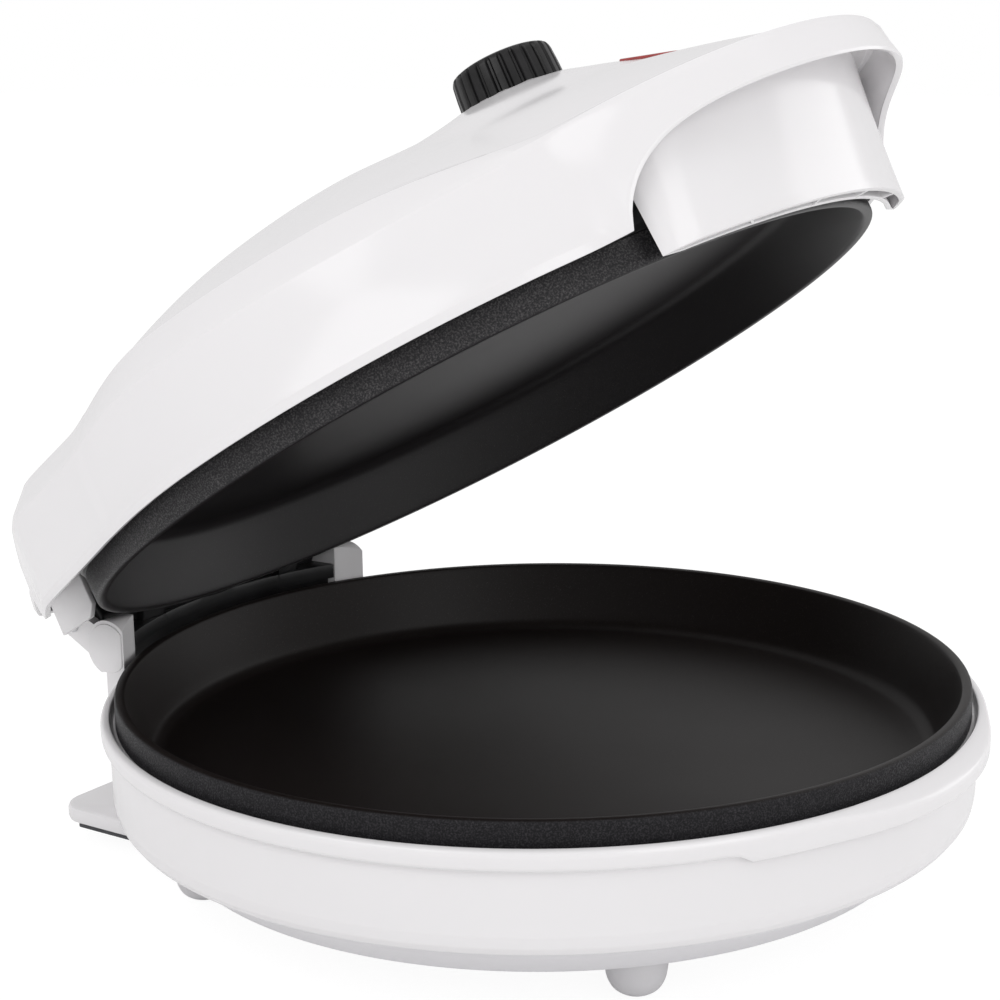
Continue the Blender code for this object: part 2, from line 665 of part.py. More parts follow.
def make_handle_wall():
    """The double wall behind the visor, with ribs between its two skins."""
    steps = 24
    middle, high = 0.55 * VISOR_EDGE, 0.95 * VISOR_EDGE
    sections = []
    for step in range(steps + 1):
        angle = mix(-HANDLE_HALF, HANDLE_HALF, step / steps)
        inside, outside = HANDLE_INSIDE + 0.0015, handle_reach(angle, high)
        inner_top = crown_underside(angle, inside) - FIT_GAP
        outer_top = crown_underside(angle, outside) - 0.0022 * (angle / HANDLE_HALF) ** 2 - FIT_GAP
        section = [(HANDLE_INSIDE, 0.0), (handle_reach(angle, 0.0), 0.001), (handle_reach(angle, middle), middle),
                   (outside, high), (outside, outer_top), (inside, inner_top)]
        sections.append([heading(angle, radius, height) for radius, height in section])
    wall = lofted("handle_wall", sections)
    place(wall, WHITE, LID, lid_place())
    pockets = 6
    skin = 0.0018
    rib = skin / PAN_RADIUS
    pitch = (2 * HANDLE_HALF - rib) / pockets
    for number in range(pockets):
        start = -HANDLE_HALF + rib + number * pitch
        cuts = []
        for step in range(5):
            angle = mix(start, start + pitch - rib, step / 4)
            cut = [(HANDLE_INSIDE + skin, -0.004), (handle_reach(angle, 0.0) - skin, -0.004),
                   (handle_reach(angle, middle) - skin, middle), (handle_reach(angle, high) - skin, high),
                   (HANDLE_INSIDE + 0.0006 + skin, high)]
            cuts.append([heading(angle, radius, height) for radius, height in cut])
        pocket = as_cutter(lofted("rib_pocket_" + str(number + 1), cuts), LID, lid_place())
        combine(wall, pocket)


def arm_ring():
    """The radius of the rings by which the arms hold the barrel."""
    return BARREL_RADIUS + 0.0034


def make_lid_hinge():
    """The barrel between the posts, the arms that join it to the lid, and the cover's brackets."""
    length = POST_INSIDE - 2 * FIT_GAP
    flange = BARREL_RADIUS + FLANGE
    end = [(flange - 0.0006, length), (flange, length - 0.0006), (flange, length - 0.002),
           (BARREL_RADIUS, length - 0.002)]
    other_end = [(radius, -along) for radius, along in reversed(end)]
    bore = PIN_RADIUS + RUNNING_GAP
    barrel = turned("hinge_barrel", end + other_end + [(bore, -length), (bore, length)], steps=32)
    place(barrel, BLACK, LID, (0.0, 0.0, 0.0), (0.0, math.pi / 2, 0.0))
    ring = arm_ring()
    pan_back = RIM_GAP + PAN_DEPTH + PAN_SHEET + FIT_GAP - AXIS_ABOVE
    eye = arc((0.0, 0.0), ring, 150, 390, 20)
    tongue = 0.45 * POST_INSIDE + 0.0015
    outline = eye + [(ring - 0.004, pan_back), (0.004, pan_back + 0.006), (-tongue, pan_back + 0.006),
                     (-tongue, pan_back), (-ring + 0.0045, pan_back)]
    hole = arc((0.0, 0.0), BARREL_RADIUS + FIT_GAP, 0, 345, 23)
    cover_under = COVER_CREASE - WALL - FIT_GAP - AXIS_ABOVE
    cheek = [(-0.010, -0.005), (-0.0125, 0.028), (-0.025, cover_under), (-0.034, cover_under),
             (-0.032, -0.001), (-0.028, -0.005)]
    for name, way in (("left", -1), ("right", 1)):
        arm = side_plate("hinge_arm_" + name, outline, ARM_WIDTH, hole)
        place(arm, BLACK, LID, (way * ARM_MIDDLE, 0.0, 0.0))
        bracket = side_plate("cover_bracket_" + name, cheek, WALL)
        place(bracket, WHITE, LID, (way * (POST_INSIDE + POST_WIDTH + ARM_WIDTH / 2), 0.0, 0.0))


def make_control():
    """The ribbed dial on its shaft, with the thermostat under the crown."""
    per_rib = 4
    count = KNOB_RIBS * per_rib
    sections = []
    for step in range(count):
        angle = 2 * math.pi * step / count
        groove = 0.0011 if step % per_rib in (0, 1) else 0.0
        outline = [(KNOB_RADIUS, 0.0), (KNOB_RADIUS, 0.0026), (KNOB_RADIUS - 0.0003 - groove, 0.0034),
                   (KNOB_RADIUS - 0.0018 - groove, KNOB_HEIGHT - 0.0026),
                   (KNOB_RADIUS - 0.0030 - 0.5 * groove, KNOB_HEIGHT - 0.0007),
                   (KNOB_RADIUS - 0.0052, KNOB_HEIGHT)]
        sections.append([heading(angle, radius, height) for radius, height in outline])
    knob = lofted("control_knob", sections, ring=True, closed=False, lids=True)
    place(knob, BLACK, KNOB)
    bore = as_cutter(rod("knob_bore", SHAFT_RADIUS + FIT_GAP, -0.3 * KNOB_HEIGHT, 0.7 * KNOB_HEIGHT), KNOB)
    combine(knob, bore)
    place(rod("knob_shaft", SHAFT_RADIUS, -0.8 * KNOB_HEIGHT, 0.675 * KNOB_HEIGHT), STEEL, KNOB)
    pointer = block("knob_pointer", (0.0014, 0.011, 0.0006), (0.0, -0.0085, KNOB_HEIGHT + FIT_GAP + 0.0003))
    place(pointer, WHITE, KNOB)
    body = block("thermostat", (0.034, 0.028, 0.014), (0.0, 0.0, -0.0202))
    soften(body, 0.001)
    place(body, STEEL, LID, knob_place(), (KNOB_TILT, 0.0, 0.0))


def make_indicator():
    at, turn = lens_place()
    lens = block("indicator_lens", (LENS_WIDTH, LENS_LENGTH, 0.004 + LENS_PROUD),
                 (0.0, 0.0, (LENS_PROUD - 0.004) / 2 + 0.0004))
    soften(lens, 0.0006)
    place(lens, LENS, LID, at, turn)
    for name, along in (("heat", 0.0055), ("power", -0.0055)):
        lamp = rod("lamp_" + name, 0.0024, -0.0135, -0.0044, sides=20)
        place(lamp, LENS, LID, at + Vector((0.0, along * math.cos(turn[0]), along * math.sin(turn[0]))), turn)


clear_scene()
MAKER = new_collection("pizza_maker")
CUTTERS = new_collection("cutters")
WHITE = material("white_plastic", (0.84, 0.83, 0.84), 0.28)
GREY = material("pale_grey_plastic", (0.62, 0.61, 0.65), 0.42)
BLACK = material("black_coating", (0.018, 0.017, 0.018), 0.34)
STEEL = material("bright_steel", (0.55, 0.55, 0.56), 0.30, 1.0)
RUBBER = material("dark_rubber", (0.035, 0.035, 0.037), 0.75)
LENS = material("red_lens", (0.35, 0.02, 0.02), 0.15)

BASE = bpy.data.objects.new("base_frame", None)
MAKER.objects.link(BASE)
BASE.location = (0.0, -MIDDLE_BEHIND, RIM_HEIGHT)
LID = bpy.data.objects.new("lid_axis", None)
MAKER.objects.link(LID)
LID.parent = BASE
LID.location = (0.0, AXIS_Y, AXIS_ABOVE)
LID.rotation_euler = (-OPEN_ANGLE, 0.0, 0.0)
KNOB = bpy.data.objects.new("knob_axis", None)
MAKER.objects.link(KNOB)
KNOB.parent = LID
KNOB.location = knob_place()
KNOB.rotation_euler = (KNOB_TILT, 0.0, 0.0)

make_base_shell()
make_base_bottom()
make_pans()
make_lid_pan_ring()
make_heaters()
make_feet()
make_posts()
make_rail()
make_heel()
make_gland()
make_lid_shell()
make_handle_wall()
make_lid_hinge()
make_control()
make_indicator()
bpy.context.view_layer.update()
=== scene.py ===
"""The looks of a white moulded countertop cooker, its lid held open, on a white sweep."""

import json
import math

import bmesh
import bpy
from mathutils import Matrix, Vector

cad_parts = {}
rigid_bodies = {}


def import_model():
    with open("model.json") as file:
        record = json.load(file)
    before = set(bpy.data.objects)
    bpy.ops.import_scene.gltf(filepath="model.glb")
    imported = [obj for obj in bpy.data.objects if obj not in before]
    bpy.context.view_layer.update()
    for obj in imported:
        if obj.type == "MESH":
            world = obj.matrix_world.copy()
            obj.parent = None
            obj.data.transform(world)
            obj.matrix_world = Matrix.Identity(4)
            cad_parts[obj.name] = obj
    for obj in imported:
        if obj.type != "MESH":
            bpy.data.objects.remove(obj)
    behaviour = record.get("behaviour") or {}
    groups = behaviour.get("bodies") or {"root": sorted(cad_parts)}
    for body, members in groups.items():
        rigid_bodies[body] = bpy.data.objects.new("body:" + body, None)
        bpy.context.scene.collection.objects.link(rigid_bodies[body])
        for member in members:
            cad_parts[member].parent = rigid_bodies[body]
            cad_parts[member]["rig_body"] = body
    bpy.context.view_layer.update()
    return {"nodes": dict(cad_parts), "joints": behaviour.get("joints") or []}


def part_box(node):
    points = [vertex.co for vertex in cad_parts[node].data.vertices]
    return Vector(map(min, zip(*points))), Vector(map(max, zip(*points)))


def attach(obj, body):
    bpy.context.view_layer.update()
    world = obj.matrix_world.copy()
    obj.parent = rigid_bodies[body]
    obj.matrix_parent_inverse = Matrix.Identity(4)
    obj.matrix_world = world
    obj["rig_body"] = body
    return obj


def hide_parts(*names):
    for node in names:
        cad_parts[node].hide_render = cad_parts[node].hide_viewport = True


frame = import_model()


# The studio. A long lens looks slightly down on the maker from the left of its handle, and the
# whole set is a white sweep: a pale floor that runs on into a white surround.
view = bpy.context.scene.view_settings
view.view_transform = "Standard"

pan_low, pan_high = (Vector(corner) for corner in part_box("base_pan"))
rim_middle = Vector(((pan_low.x + pan_high.x) / 2, (pan_low.y + pan_high.y) / 2, pan_high.z))
stand_round, stand_up = math.radians(-56.4366), math.radians(17.1878)
stand_off = 0.83678
turned_aside, tipped, rolled = math.radians(1.0557), math.radians(-4.3679), math.radians(-0.9097)
lens_share = 2.2

away = Vector((math.sin(stand_round) * math.cos(stand_up),
               -math.cos(stand_round) * math.cos(stand_up), math.sin(stand_up)))
faced, raised = stand_round + turned_aside, stand_up + tipped
back = Vector((math.sin(faced) * math.cos(raised),
               -math.cos(faced) * math.cos(raised), math.sin(raised)))
level = Vector((math.cos(faced), math.sin(faced), 0.0))
upward = back.cross(level)
right = level * math.cos(rolled) + upward * math.sin(rolled)
upward = upward * math.cos(rolled) - level * math.sin(rolled)
bpy.ops.object.camera_add()
camera = bpy.context.object
camera.name = "studio_camera"
camera.data.sensor_width = 36.0
camera.data.lens = camera.data.sensor_width * lens_share
camera.matrix_world = Matrix.Translation(rim_middle + away * stand_off) @ Matrix(
    (right, upward, back)).transposed().to_4x4()
bpy.context.scene.camera = camera

lit_middle = Vector((0.0, 0.0, 0.15))


def hang_lamp(name, azimuth, height, off, size, power):
    """A soft box facing the maker, from an azimuth counted as the camera's is."""
    turn, rise = math.radians(azimuth), math.radians(height)
    out = Vector((math.sin(turn) * math.cos(rise), -math.cos(turn) * math.cos(rise), math.sin(rise)))
    bpy.ops.object.light_add(type="AREA", location=lit_middle + out * off)
    lamp = bpy.context.object
    lamp.name = name
    lamp.rotation_mode = "QUATERNION"
    lamp.rotation_quaternion = out.to_track_quat("Z", "Y")
    lamp.data.shape = "RECTANGLE"
    lamp.data.size, lamp.data.size_y = size
    lamp.data.energy = power


hang_lamp("key_soft_box", azimuth=-100, height=40, off=1.7, size=(1.1, 0.9), power=5.4)
hang_lamp("front_soft_box", azimuth=-20, height=24, off=1.9, size=(1.0, 1.0), power=5.4)
hang_lamp("right_soft_box", azimuth=55, height=14, off=1.8, size=(1.0, 0.9), power=3.6)
hang_lamp("top_soft_box", azimuth=60, height=80, off=1.6, size=(1.4, 1.0), power=1.2)

surround_fill, surround_seen = 0.74, 1.0
surround = bpy.data.worlds.new("white_surround")
bpy.context.scene.world = surround
surround.use_nodes = True
tree = surround.node_tree
fill = tree.nodes["Background"]
fill.inputs["Color"].default_value = (1.0, 0.995, 1.0, 1.0)
fill.inputs["Strength"].default_value = surround_fill
seen = tree.nodes.new("ShaderNodeBackground")
seen.inputs["Color"].default_value = (1.0, 1.0, 1.0, 1.0)
seen.inputs["Strength"].default_value = surround_seen
path = tree.nodes.new("ShaderNodeLightPath")
either = tree.nodes.new("ShaderNodeMath")
either.operation = "MAXIMUM"
tree.links.new(path.outputs["Is Camera Ray"], either.inputs[0])
tree.links.new(path.outputs["Is Transmission Ray"], either.inputs[1])
choice = tree.nodes.new("ShaderNodeMixShader")
tree.links.new(either.outputs[0], choice.inputs[0])
tree.links.new(fill.outputs[0], choice.inputs[1])
tree.links.new(seen.outputs[0], choice.inputs[2])
tree.links.new(choice.outputs[0], tree.nodes["World Output"].inputs["Surface"])

floor_size, floor_drop, floor_grey = 12.0, 0.0001, 0.93
glow_strength, glow_in_reflections, glow_seen = 1.09, 0.11, 0.84
bpy.ops.object.select_all(action="DESELECT")
bpy.ops.mesh.primitive_grid_add(x_subdivisions=8, y_subdivisions=8, size=floor_size,
                                location=(0.0, 0.0, -floor_drop))
floor = bpy.context.object
floor.name = "studio_floor"
floor_paint = bpy.data.materials.new("white_sweep")
floor_paint.use_nodes = True
tree = floor_paint.node_tree
matt = tree.nodes["Principled BSDF"]
matt.inputs["Base Color"].default_value = (floor_grey, floor_grey, floor_grey, 1.0)
matt.inputs["Roughness"].default_value = 0.9
matt.inputs["Specular IOR Level"].default_value = 0.0
glow = tree.nodes.new("ShaderNodeEmission")
glow.inputs["Strength"].default_value = glow_strength
path = tree.nodes.new("ShaderNodeLightPath")
share = tree.nodes.new("ShaderNodeMapRange")
share.inputs["To Min"].default_value = glow_in_reflections
share.inputs["To Max"].default_value = glow_seen
tree.links.new(path.outputs["Is Camera Ray"], share.inputs["Value"])
blend = tree.nodes.new("ShaderNodeMixShader")
tree.links.new(share.outputs[0], blend.inputs[0])
tree.links.new(matt.outputs[0], blend.inputs[1])
tree.links.new(glow.outputs[0], blend.inputs[2])
tree.links.new(blend.outputs[0], tree.nodes["Material Output"].inputs["Surface"])
floor.data.materials.append(floor_paint)


# The tub. A deep ring of gloss white ABS, moulded in one piece with the pull lip under the handle;
# its band overhangs a groove, and the pan rests on a ledge inside it.
class Wire:
    """A value that runs between shader nodes; sums on it are written as plain arithmetic."""

    def __init__(self, finish, socket):
        self.finish, self.socket = finish, socket

    def sum(self, operation, *others):
        """One step of arithmetic on what runs here."""
        return self.finish.node("Math", {"operation": operation}, *others)

    def __add__(self, other):
        return self.sum("ADD", self, other)

    def __mul__(self, other):
        return self.sum("MULTIPLY", self, other)

    def __sub__(self, other):
        return self.sum("SUBTRACT", self, other)

    def __rsub__(self, other):
        return self.sum("SUBTRACT", other, self)

    def __pow__(self, other):
        return self.sum("POWER", self, other)

    __radd__ = __add__
    __rmul__ = __mul__

    def over(self, low, high):
        """0 up to the low value, 1 from the high one, and a straight rise between them."""
        return self.finish.node("MapRange", {}, Value=self, **{"From Min": low, "From Max": high})


class Finish:
    """A surface finish: one material, its shader and the nodes that vary it."""

    def __init__(self, name, colour, roughness, **fixed):
        self.material = bpy.data.materials.new(name)
        self.material.use_nodes = True
        self.tree = self.material.node_tree
        self.shader = self.tree.nodes["Principled BSDF"]
        self.shader.inputs["Base Color"].default_value = (*colour, 1.0)
        self.shader.inputs["Roughness"].default_value = roughness
        for socket, value in fixed.items():
            self.shader.inputs[socket.replace("_", " ")].default_value = value
        self.material.diffuse_color = (*colour, 1.0)

    def node(self, kind, settings, *values, **named):
        """Any shader node: its settings first, then what its sockets hold or are linked to."""
        made = self.tree.nodes.new("ShaderNode" + kind)
        for setting, value in settings.items():
            setattr(made, setting, value)
        for key, value in list(enumerate(values)) + list(named.items()):
            if isinstance(value, Wire):
                self.tree.links.new(value.socket, made.inputs[key])
            else:
                made.inputs[key].default_value = value
        return Wire(self, next(output for output in made.outputs if output.enabled))

    def place(self, seat=Matrix(), stretch=(1.0, 1.0, 1.0)):
        """Where a point lies, counted from a seat such as the middle of a pan's rim or of the knob."""
        coordinates = self.tree.nodes.new("ShaderNodeTexCoord")
        inward = seat.inverted()
        here = Wire(self, coordinates.outputs["Object"])
        seated = self.node("Mapping", {}, here, inward.to_translation(), inward.to_euler())
        return self.node("Mapping", {}, seated, (0.0, 0.0, 0.0), (0.0, 0.0, 0.0), stretch)

    def axes(self, where):
        """The three distances of a place, each on a wire of its own."""
        split = self.tree.nodes.new("ShaderNodeSeparateXYZ")
        self.tree.links.new(where.socket, split.inputs[0])
        return [Wire(self, output) for output in split.outputs]

    def noise(self, where, scale, detail=2.0, rough=0.5):
        """Even, cloudy noise over a place; a larger scale gives finer clouds."""
        return self.node("TexNoise", {}, Vector=where, Scale=scale, Detail=detail, Roughness=rough)

    def tint(self, first, second, share):
        """A colour that passes from the first to the second."""
        first, second = [value if isinstance(value, Wire) else (*value, 1.0)
                         for value in (first, second)]
        return self.node("MixRGB", {}, Fac=share, Color1=first, Color2=second)

    def bump(self, height, strength, distance=0.0002):
        """Small relief that only tilts the light."""
        return self.node("Bump", {}, Strength=strength, Distance=distance, Height=height)

    def feed(self, socket, wire):
        """Links a wire to one of the shader's own sockets."""
        self.tree.links.new(wire.socket, self.shader.inputs[socket])


def gloss_white(name, colour, roughness, seat=Matrix()):
    """Gloss white moulding: a trace of flow in the colour, a faint orange peel and a few wipe marks."""
    finish = Finish(name, colour, roughness, Specular_IOR_Level=0.5)
    where = finish.place(seat)
    flow = finish.noise(where, 9.0, 3.0)
    shade = tuple(part * 0.965 for part in colour)
    finish.feed("Base Color", finish.tint(shade, colour, flow))
    wiped = finish.noise(finish.place(seat, (1.0, 6.0, 3.0)), 14.0, 4.0, 0.6)
    grain = finish.noise(where, 900.0, 2.0)
    finish.feed("Roughness", roughness - 0.05 + 0.09 * wiped + 0.03 * grain)
    peel = finish.noise(where, 160.0, 2.0)
    finish.feed("Normal", finish.bump(peel + 0.25 * grain, 0.05))
    return finish.material


def eased(profile, radius=0.0006, steps=3):
    """The profile with small curves for corners; one that ends where it starts is a closed ring."""
    closed = profile[0] == profile[-1]
    corners = [Vector(corner) for corner in (profile[:-1] if closed else profile)]
    drawn = []
    for index, here in enumerate(corners):
        if not closed and index in (0, len(corners) - 1):
            drawn.append(tuple(here))
            continue
        before, after = corners[index - 1], corners[(index + 1) % len(corners)]
        start = here + (before - here).normalized() * min(radius, (before - here).length * 0.45)
        end = here + (after - here).normalized() * min(radius, (after - here).length * 0.45)
        for step in range(steps + 1):
            share = step / steps
            drawn.append(tuple(start * (1 - share) ** 2 + here * 2 * share * (1 - share)
                               + end * share ** 2))
    if closed:
        drawn.append(drawn[0])
    return drawn


welded = 0.000002


def drawn_line(name, points):
    """A new piece, left open for editing: one vertex is extruded from point to point."""
    bpy.ops.object.select_all(action="DESELECT")
    bpy.ops.mesh.primitive_plane_add(size=0.001)
    piece = bpy.context.object
    piece.name = name
    bpy.ops.object.mode_set(mode="EDIT")
    bpy.ops.mesh.merge(type="CENTER")
    bpy.ops.transform.translate(value=points[0])
    for here, there in zip(points, points[1:]):
        step = tuple(to - start for start, to in zip(here, there))
        bpy.ops.mesh.extrude_region_move(TRANSFORM_OT_translate={"value": step})
    bpy.ops.mesh.select_all(action="SELECT")
    return piece


def turned(name, profile, steps=240):
    """A turned piece: the line of its profile is spun about Z."""
    piece = drawn_line(name, [(radius, 0.0, height) for radius, height in profile])
    bpy.ops.mesh.spin(steps=steps, angle=2 * math.pi, center=(0.0, 0.0, 0.0), axis=(0.0, 0.0, 1.0))
    bpy.ops.mesh.select_all(action="SELECT")
    bpy.ops.mesh.remove_doubles(threshold=welded)
    bpy.ops.mesh.normals_make_consistent(inside=False)
    bpy.ops.object.mode_set(mode="OBJECT")
    return piece


def pick(piece):
    """Selects this piece alone, for the next step to work on."""
    bpy.ops.object.select_all(action="DESELECT")
    piece.select_set(True)
    bpy.context.view_layer.objects.active = piece


def fasten(piece, body, finish, *nodes, seat=None, angle=32):
    """Sets a finished piece in its seat, smooths and paints it, and lets it ride with its body."""
    if seat is not None:
        piece.data.transform(seat)
    pick(piece)
    bpy.ops.object.shade_smooth_by_angle(angle=math.radians(angle))
    piece.data.materials.clear()
    piece.data.materials.append(finish)
    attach(piece, body)
    if nodes:
        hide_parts(*nodes)
    return piece


def smooth_step(low, high, value):
    """0 up to the low value, 1 from the high one, and an even slope without corners between them."""
    share = min(1.0, max(0.0, (value - low) / (high - low)))
    return share * share * (3.0 - 2.0 * share)


def smooth_greater(first, second, blend):
    """The greater of two lengths, with a small curve where they cross."""
    return (first + second + math.sqrt((first - second) ** 2 + blend ** 2)) / 2


def mix(first, second, share):
    """The value this share of the way from the first to the second."""
    return first + (second - first) * share


base_seat = Matrix.Translation(rim_middle)
white = (0.835, 0.822, 0.832)
tub_white = gloss_white("gloss_white_tub", white, 0.17, base_seat)
pan_radius = 0.160
band_radius, band_top, band_bottom = 0.1655, -0.008, -0.015
body_radius, body_inside, body_bottom = 0.1621, 0.1597, -0.0465
ledge_radius, ledge_height = 0.156, -0.0108
tub = turned("tub", eased([
    (band_radius - 0.002, band_top), (band_radius - 0.0006, band_top - 0.0006),
    (band_radius, band_top - 0.0022), (band_radius - 0.0002, band_bottom + 0.001),
    (band_radius - 0.001, band_bottom), (body_radius, band_bottom - 0.0008),
    (body_radius + 0.0003, band_bottom - 0.003), (body_radius, body_bottom + 0.0085),
    (body_radius - 0.0008, body_bottom + 0.0044), (body_radius - 0.003, body_bottom + 0.0015),
    (body_radius - 0.0087, body_bottom), (body_inside - 0.0096, body_bottom),
    (body_inside - 0.0038, body_bottom + 0.0028), (body_inside - 0.0012, body_bottom + 0.0054),
    (body_inside, body_bottom + 0.0092), (body_inside, ledge_height - 0.0048),
    (ledge_radius, ledge_height - 0.0022), (ledge_radius, ledge_height),
    (body_radius - 0.0008, ledge_height), (body_radius, band_top), (band_radius - 0.002, band_top)]))
lip_circle, lip_reach, lip_drop = 0.1264, 0.0045, 0.003
lip_end, lip_fade = math.radians(35), math.radians(1.8)
lip_centre = band_radius + lip_reach - lip_circle
for vertex in tub.data.vertices:
    radius, angle = math.hypot(vertex.co.x, vertex.co.y), math.atan2(vertex.co.x, -vertex.co.y)
    share = smooth_step(body_radius + 0.0002, band_radius - 0.0005, radius)
    if abs(angle) > lip_end or share == 0.0 or vertex.co.z < band_bottom - 0.0007:
        continue
    lip = 1.0 - smooth_step(lip_end - lip_fade, lip_end, abs(angle))
    across = lip_centre * math.sin(angle)
    reach = lip_centre * math.cos(angle) + math.sqrt(lip_circle ** 2 - across ** 2)
    stretch = (smooth_greater(band_radius, reach, 0.001) - band_radius) * lip
    wider = (radius + stretch * share) / radius
    vertex.co.x *= wider
    vertex.co.y *= wider
    fall = mix(stretch / lip_reach, lip, smooth_step(0.0035, 0.0068, band_top - vertex.co.z))
    vertex.co.z -= lip_drop * fall * share
fasten(tub, "base", tub_white, "base_shell", seat=base_seat, angle=38)


# The tray that closes the tub from below. It is a stepped disc of pale grey ABS with a fine
# spark texture, pushed up into the tub and held by screws out of sight inside the feet.
grey = (0.76, 0.75, 0.77)


def spark_grey(name, colour, roughness, seat=Matrix()):
    """Pale grey moulding with the fine, even grain of a spark-eroded mould."""
    finish = Finish(name, colour, roughness, Specular_IOR_Level=0.45)
    where = finish.place(seat)
    grain = finish.noise(where, 1400.0, 3.0, 0.6)
    patch = finish.noise(where, 16.0, 3.0)
    shade = tuple(part * 0.93 for part in colour)
    finish.feed("Base Color", finish.tint(shade, colour, 0.5 * patch + 0.5 * grain))
    finish.feed("Roughness", roughness - 0.05 + 0.12 * patch)
    finish.feed("Normal", finish.bump(grain, 0.14))
    return finish.material


tray_grey = spark_grey("pale_grey_tray", grey, 0.42, base_seat)
tray_edge, tray_top, tray_bottom = 0.1534, -0.0468, -0.0595
tray = turned("tray", eased([
    (0.0, tray_bottom + 0.0024), (tray_edge - 0.0148, tray_bottom + 0.0024),
    (tray_edge - 0.0062, tray_top - 0.003), (tray_edge - 0.005, tray_top),
    (tray_edge - 0.0022, tray_top), (tray_edge - 0.0036, tray_top - 0.0036),
    (tray_edge - 0.0117, tray_bottom + 0.0014), (tray_edge - 0.0134, tray_bottom),
    (0.0, tray_bottom)], 0.0008))
fasten(tray, "base", tray_grey, "base_bottom", seat=base_seat)


# The four feet. Each is a round-nosed stud of matt grey soft PVC, pushed into a hole in the tray
# over the screw that holds the tray up.
foot_grey = spark_grey("soft_grey_feet", (0.66, 0.65, 0.665), 0.55)
foot_radius = 0.0115
for corner in ("front_left", "front_right", "rear_left", "rear_right"):
    node = "foot_" + corner
    low, high = (Vector(extreme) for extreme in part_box(node))
    foot = turned("stud_" + corner, eased([
        (0.0, high.z), (foot_radius, high.z), (foot_radius - 0.0014, 0.006),
        (foot_radius - 0.0032, 0.0025), (foot_radius - 0.006, 0.0006),
        (foot_radius - 0.008, 0.0), (0.0, 0.0)], 0.0022, 5), 72)
    middle = (low + high) / 2
    fasten(foot, "base", foot_grey, node, seat=Matrix.Translation((middle.x, middle.y, 0.0)), angle=50)


# The two pans. Each is drawn from aluminium sheet with a straight band round its rim; the hollow
# side has a smooth black non-stick coat, and the band's outside a coarse charcoal one.
axis_behind, axis_above = 0.1715, 0.0097
hinge_at = Vector(next(joint for joint in frame["joints"] if joint["name"] == "lid_hinge")["pos_m"])
held_open = math.radians(32.1)
lid_seat = (Matrix.Translation(hinge_at) @ Matrix.Rotation(-held_open, 4, "X")
            @ Matrix.Translation((0.0, -axis_behind, -axis_above)))


def pan_coat(name, seat, hollow_colour, ridge_tone_and_painted_glint, shine):
    """Non-stick coating: satin and fine in the hollow with pale specks painted as glints, wrinkled and
    greyer on the band round the rim, the grey of its ridges partly painted glint.
    """
    finish = Finish(name, hollow_colour, 0.4, Specular_IOR_Level=shine)
    where = finish.place(seat)
    along, across, _ = finish.axes(where)
    outside = ((along * along + across * across) ** 0.5).over(pan_radius - 0.0010, pan_radius - 0.0003)
    wrinkle = finish.noise(where, 1700.0, 3.0, 0.6)
    ridge = wrinkle.over(0.46, 0.70)
    speck = finish.noise(where, 2600.0, 1.0)
    glint = speck.over(0.66, 0.74)
    patch = finish.noise(where, 11.0, 3.0)
    warm = tuple(part * 1.55 for part in hollow_colour)
    # Pale specks in the hollow are painted glints; the band's ridge colour is partly the wrinkle's own
    # tone and partly painted glint.
    hollow = finish.tint(finish.tint(hollow_colour, warm, patch), (0.11, 0.105, 0.10), 0.30 * glint)
    band = finish.tint((0.0075, 0.0072, 0.0085), ridge_tone_and_painted_glint, ridge)
    finish.feed("Base Color", finish.tint(hollow, band, outside))
    inside_rough = 0.33 + 0.10 * patch + 0.10 * speck
    band_rough = 0.56 - 0.24 * ridge
    finish.feed("Roughness", inside_rough * (1.0 - outside) + band_rough * outside)
    finish.feed("Normal", finish.bump(wrinkle * outside + 0.16 * speck, 0.55, 0.0004))
    return finish.material


pan_depth, pan_foot, pan_rim, pan_band, sheet = 0.027, 0.149, 0.1565, 0.0105, 0.002
hollow_side = [
    (0.0, -pan_depth), (pan_foot - 0.010, -pan_depth), (pan_foot - 0.005, -pan_depth + 0.0004),
    (pan_foot - 0.0015, -pan_depth + 0.0025), (pan_foot, -pan_depth + 0.006),
    (pan_rim - 0.0006, -0.0012), (pan_rim, -0.0002), (pan_radius - 0.0010, 0.0),
    (pan_radius, -0.0009), (pan_radius, -pan_band)]
far_side = [
    (pan_radius - sheet, -pan_band), (pan_radius - sheet, -0.006), (pan_rim - sheet, -0.0075),
    (pan_foot + 0.0004, -pan_depth + 0.004), (pan_foot - 0.003, -pan_depth - 0.0014),
    (pan_foot - 0.008, -pan_depth - sheet), (0.0, -pan_depth - sheet)]
profile = eased(hollow_side, 0.0016, 4) + far_side
rim_gap = 0.001
base_pan = turned("lower_pan", profile, 300)
# The last colour given to each coat is its band's ridge tone, lightened as painted glint, the upper pan's
# more than the lower's.
brown_coat = pan_coat("brown_black_coat", base_seat, (0.0085, 0.0064, 0.0060), (0.036, 0.034, 0.038), 0.17)
fasten(base_pan, "base", brown_coat, "base_pan", seat=base_seat, angle=40)
lid_pan = turned("upper_pan", [(radius, rim_gap - height) for radius, height in profile], 300)
black_coat = pan_coat("black_coat", lid_seat, (0.0125, 0.0112, 0.0120), (0.066, 0.062, 0.064), 0.34)
fasten(lid_pan, "lid", black_coat, "lid_pan", seat=lid_seat, angle=40)


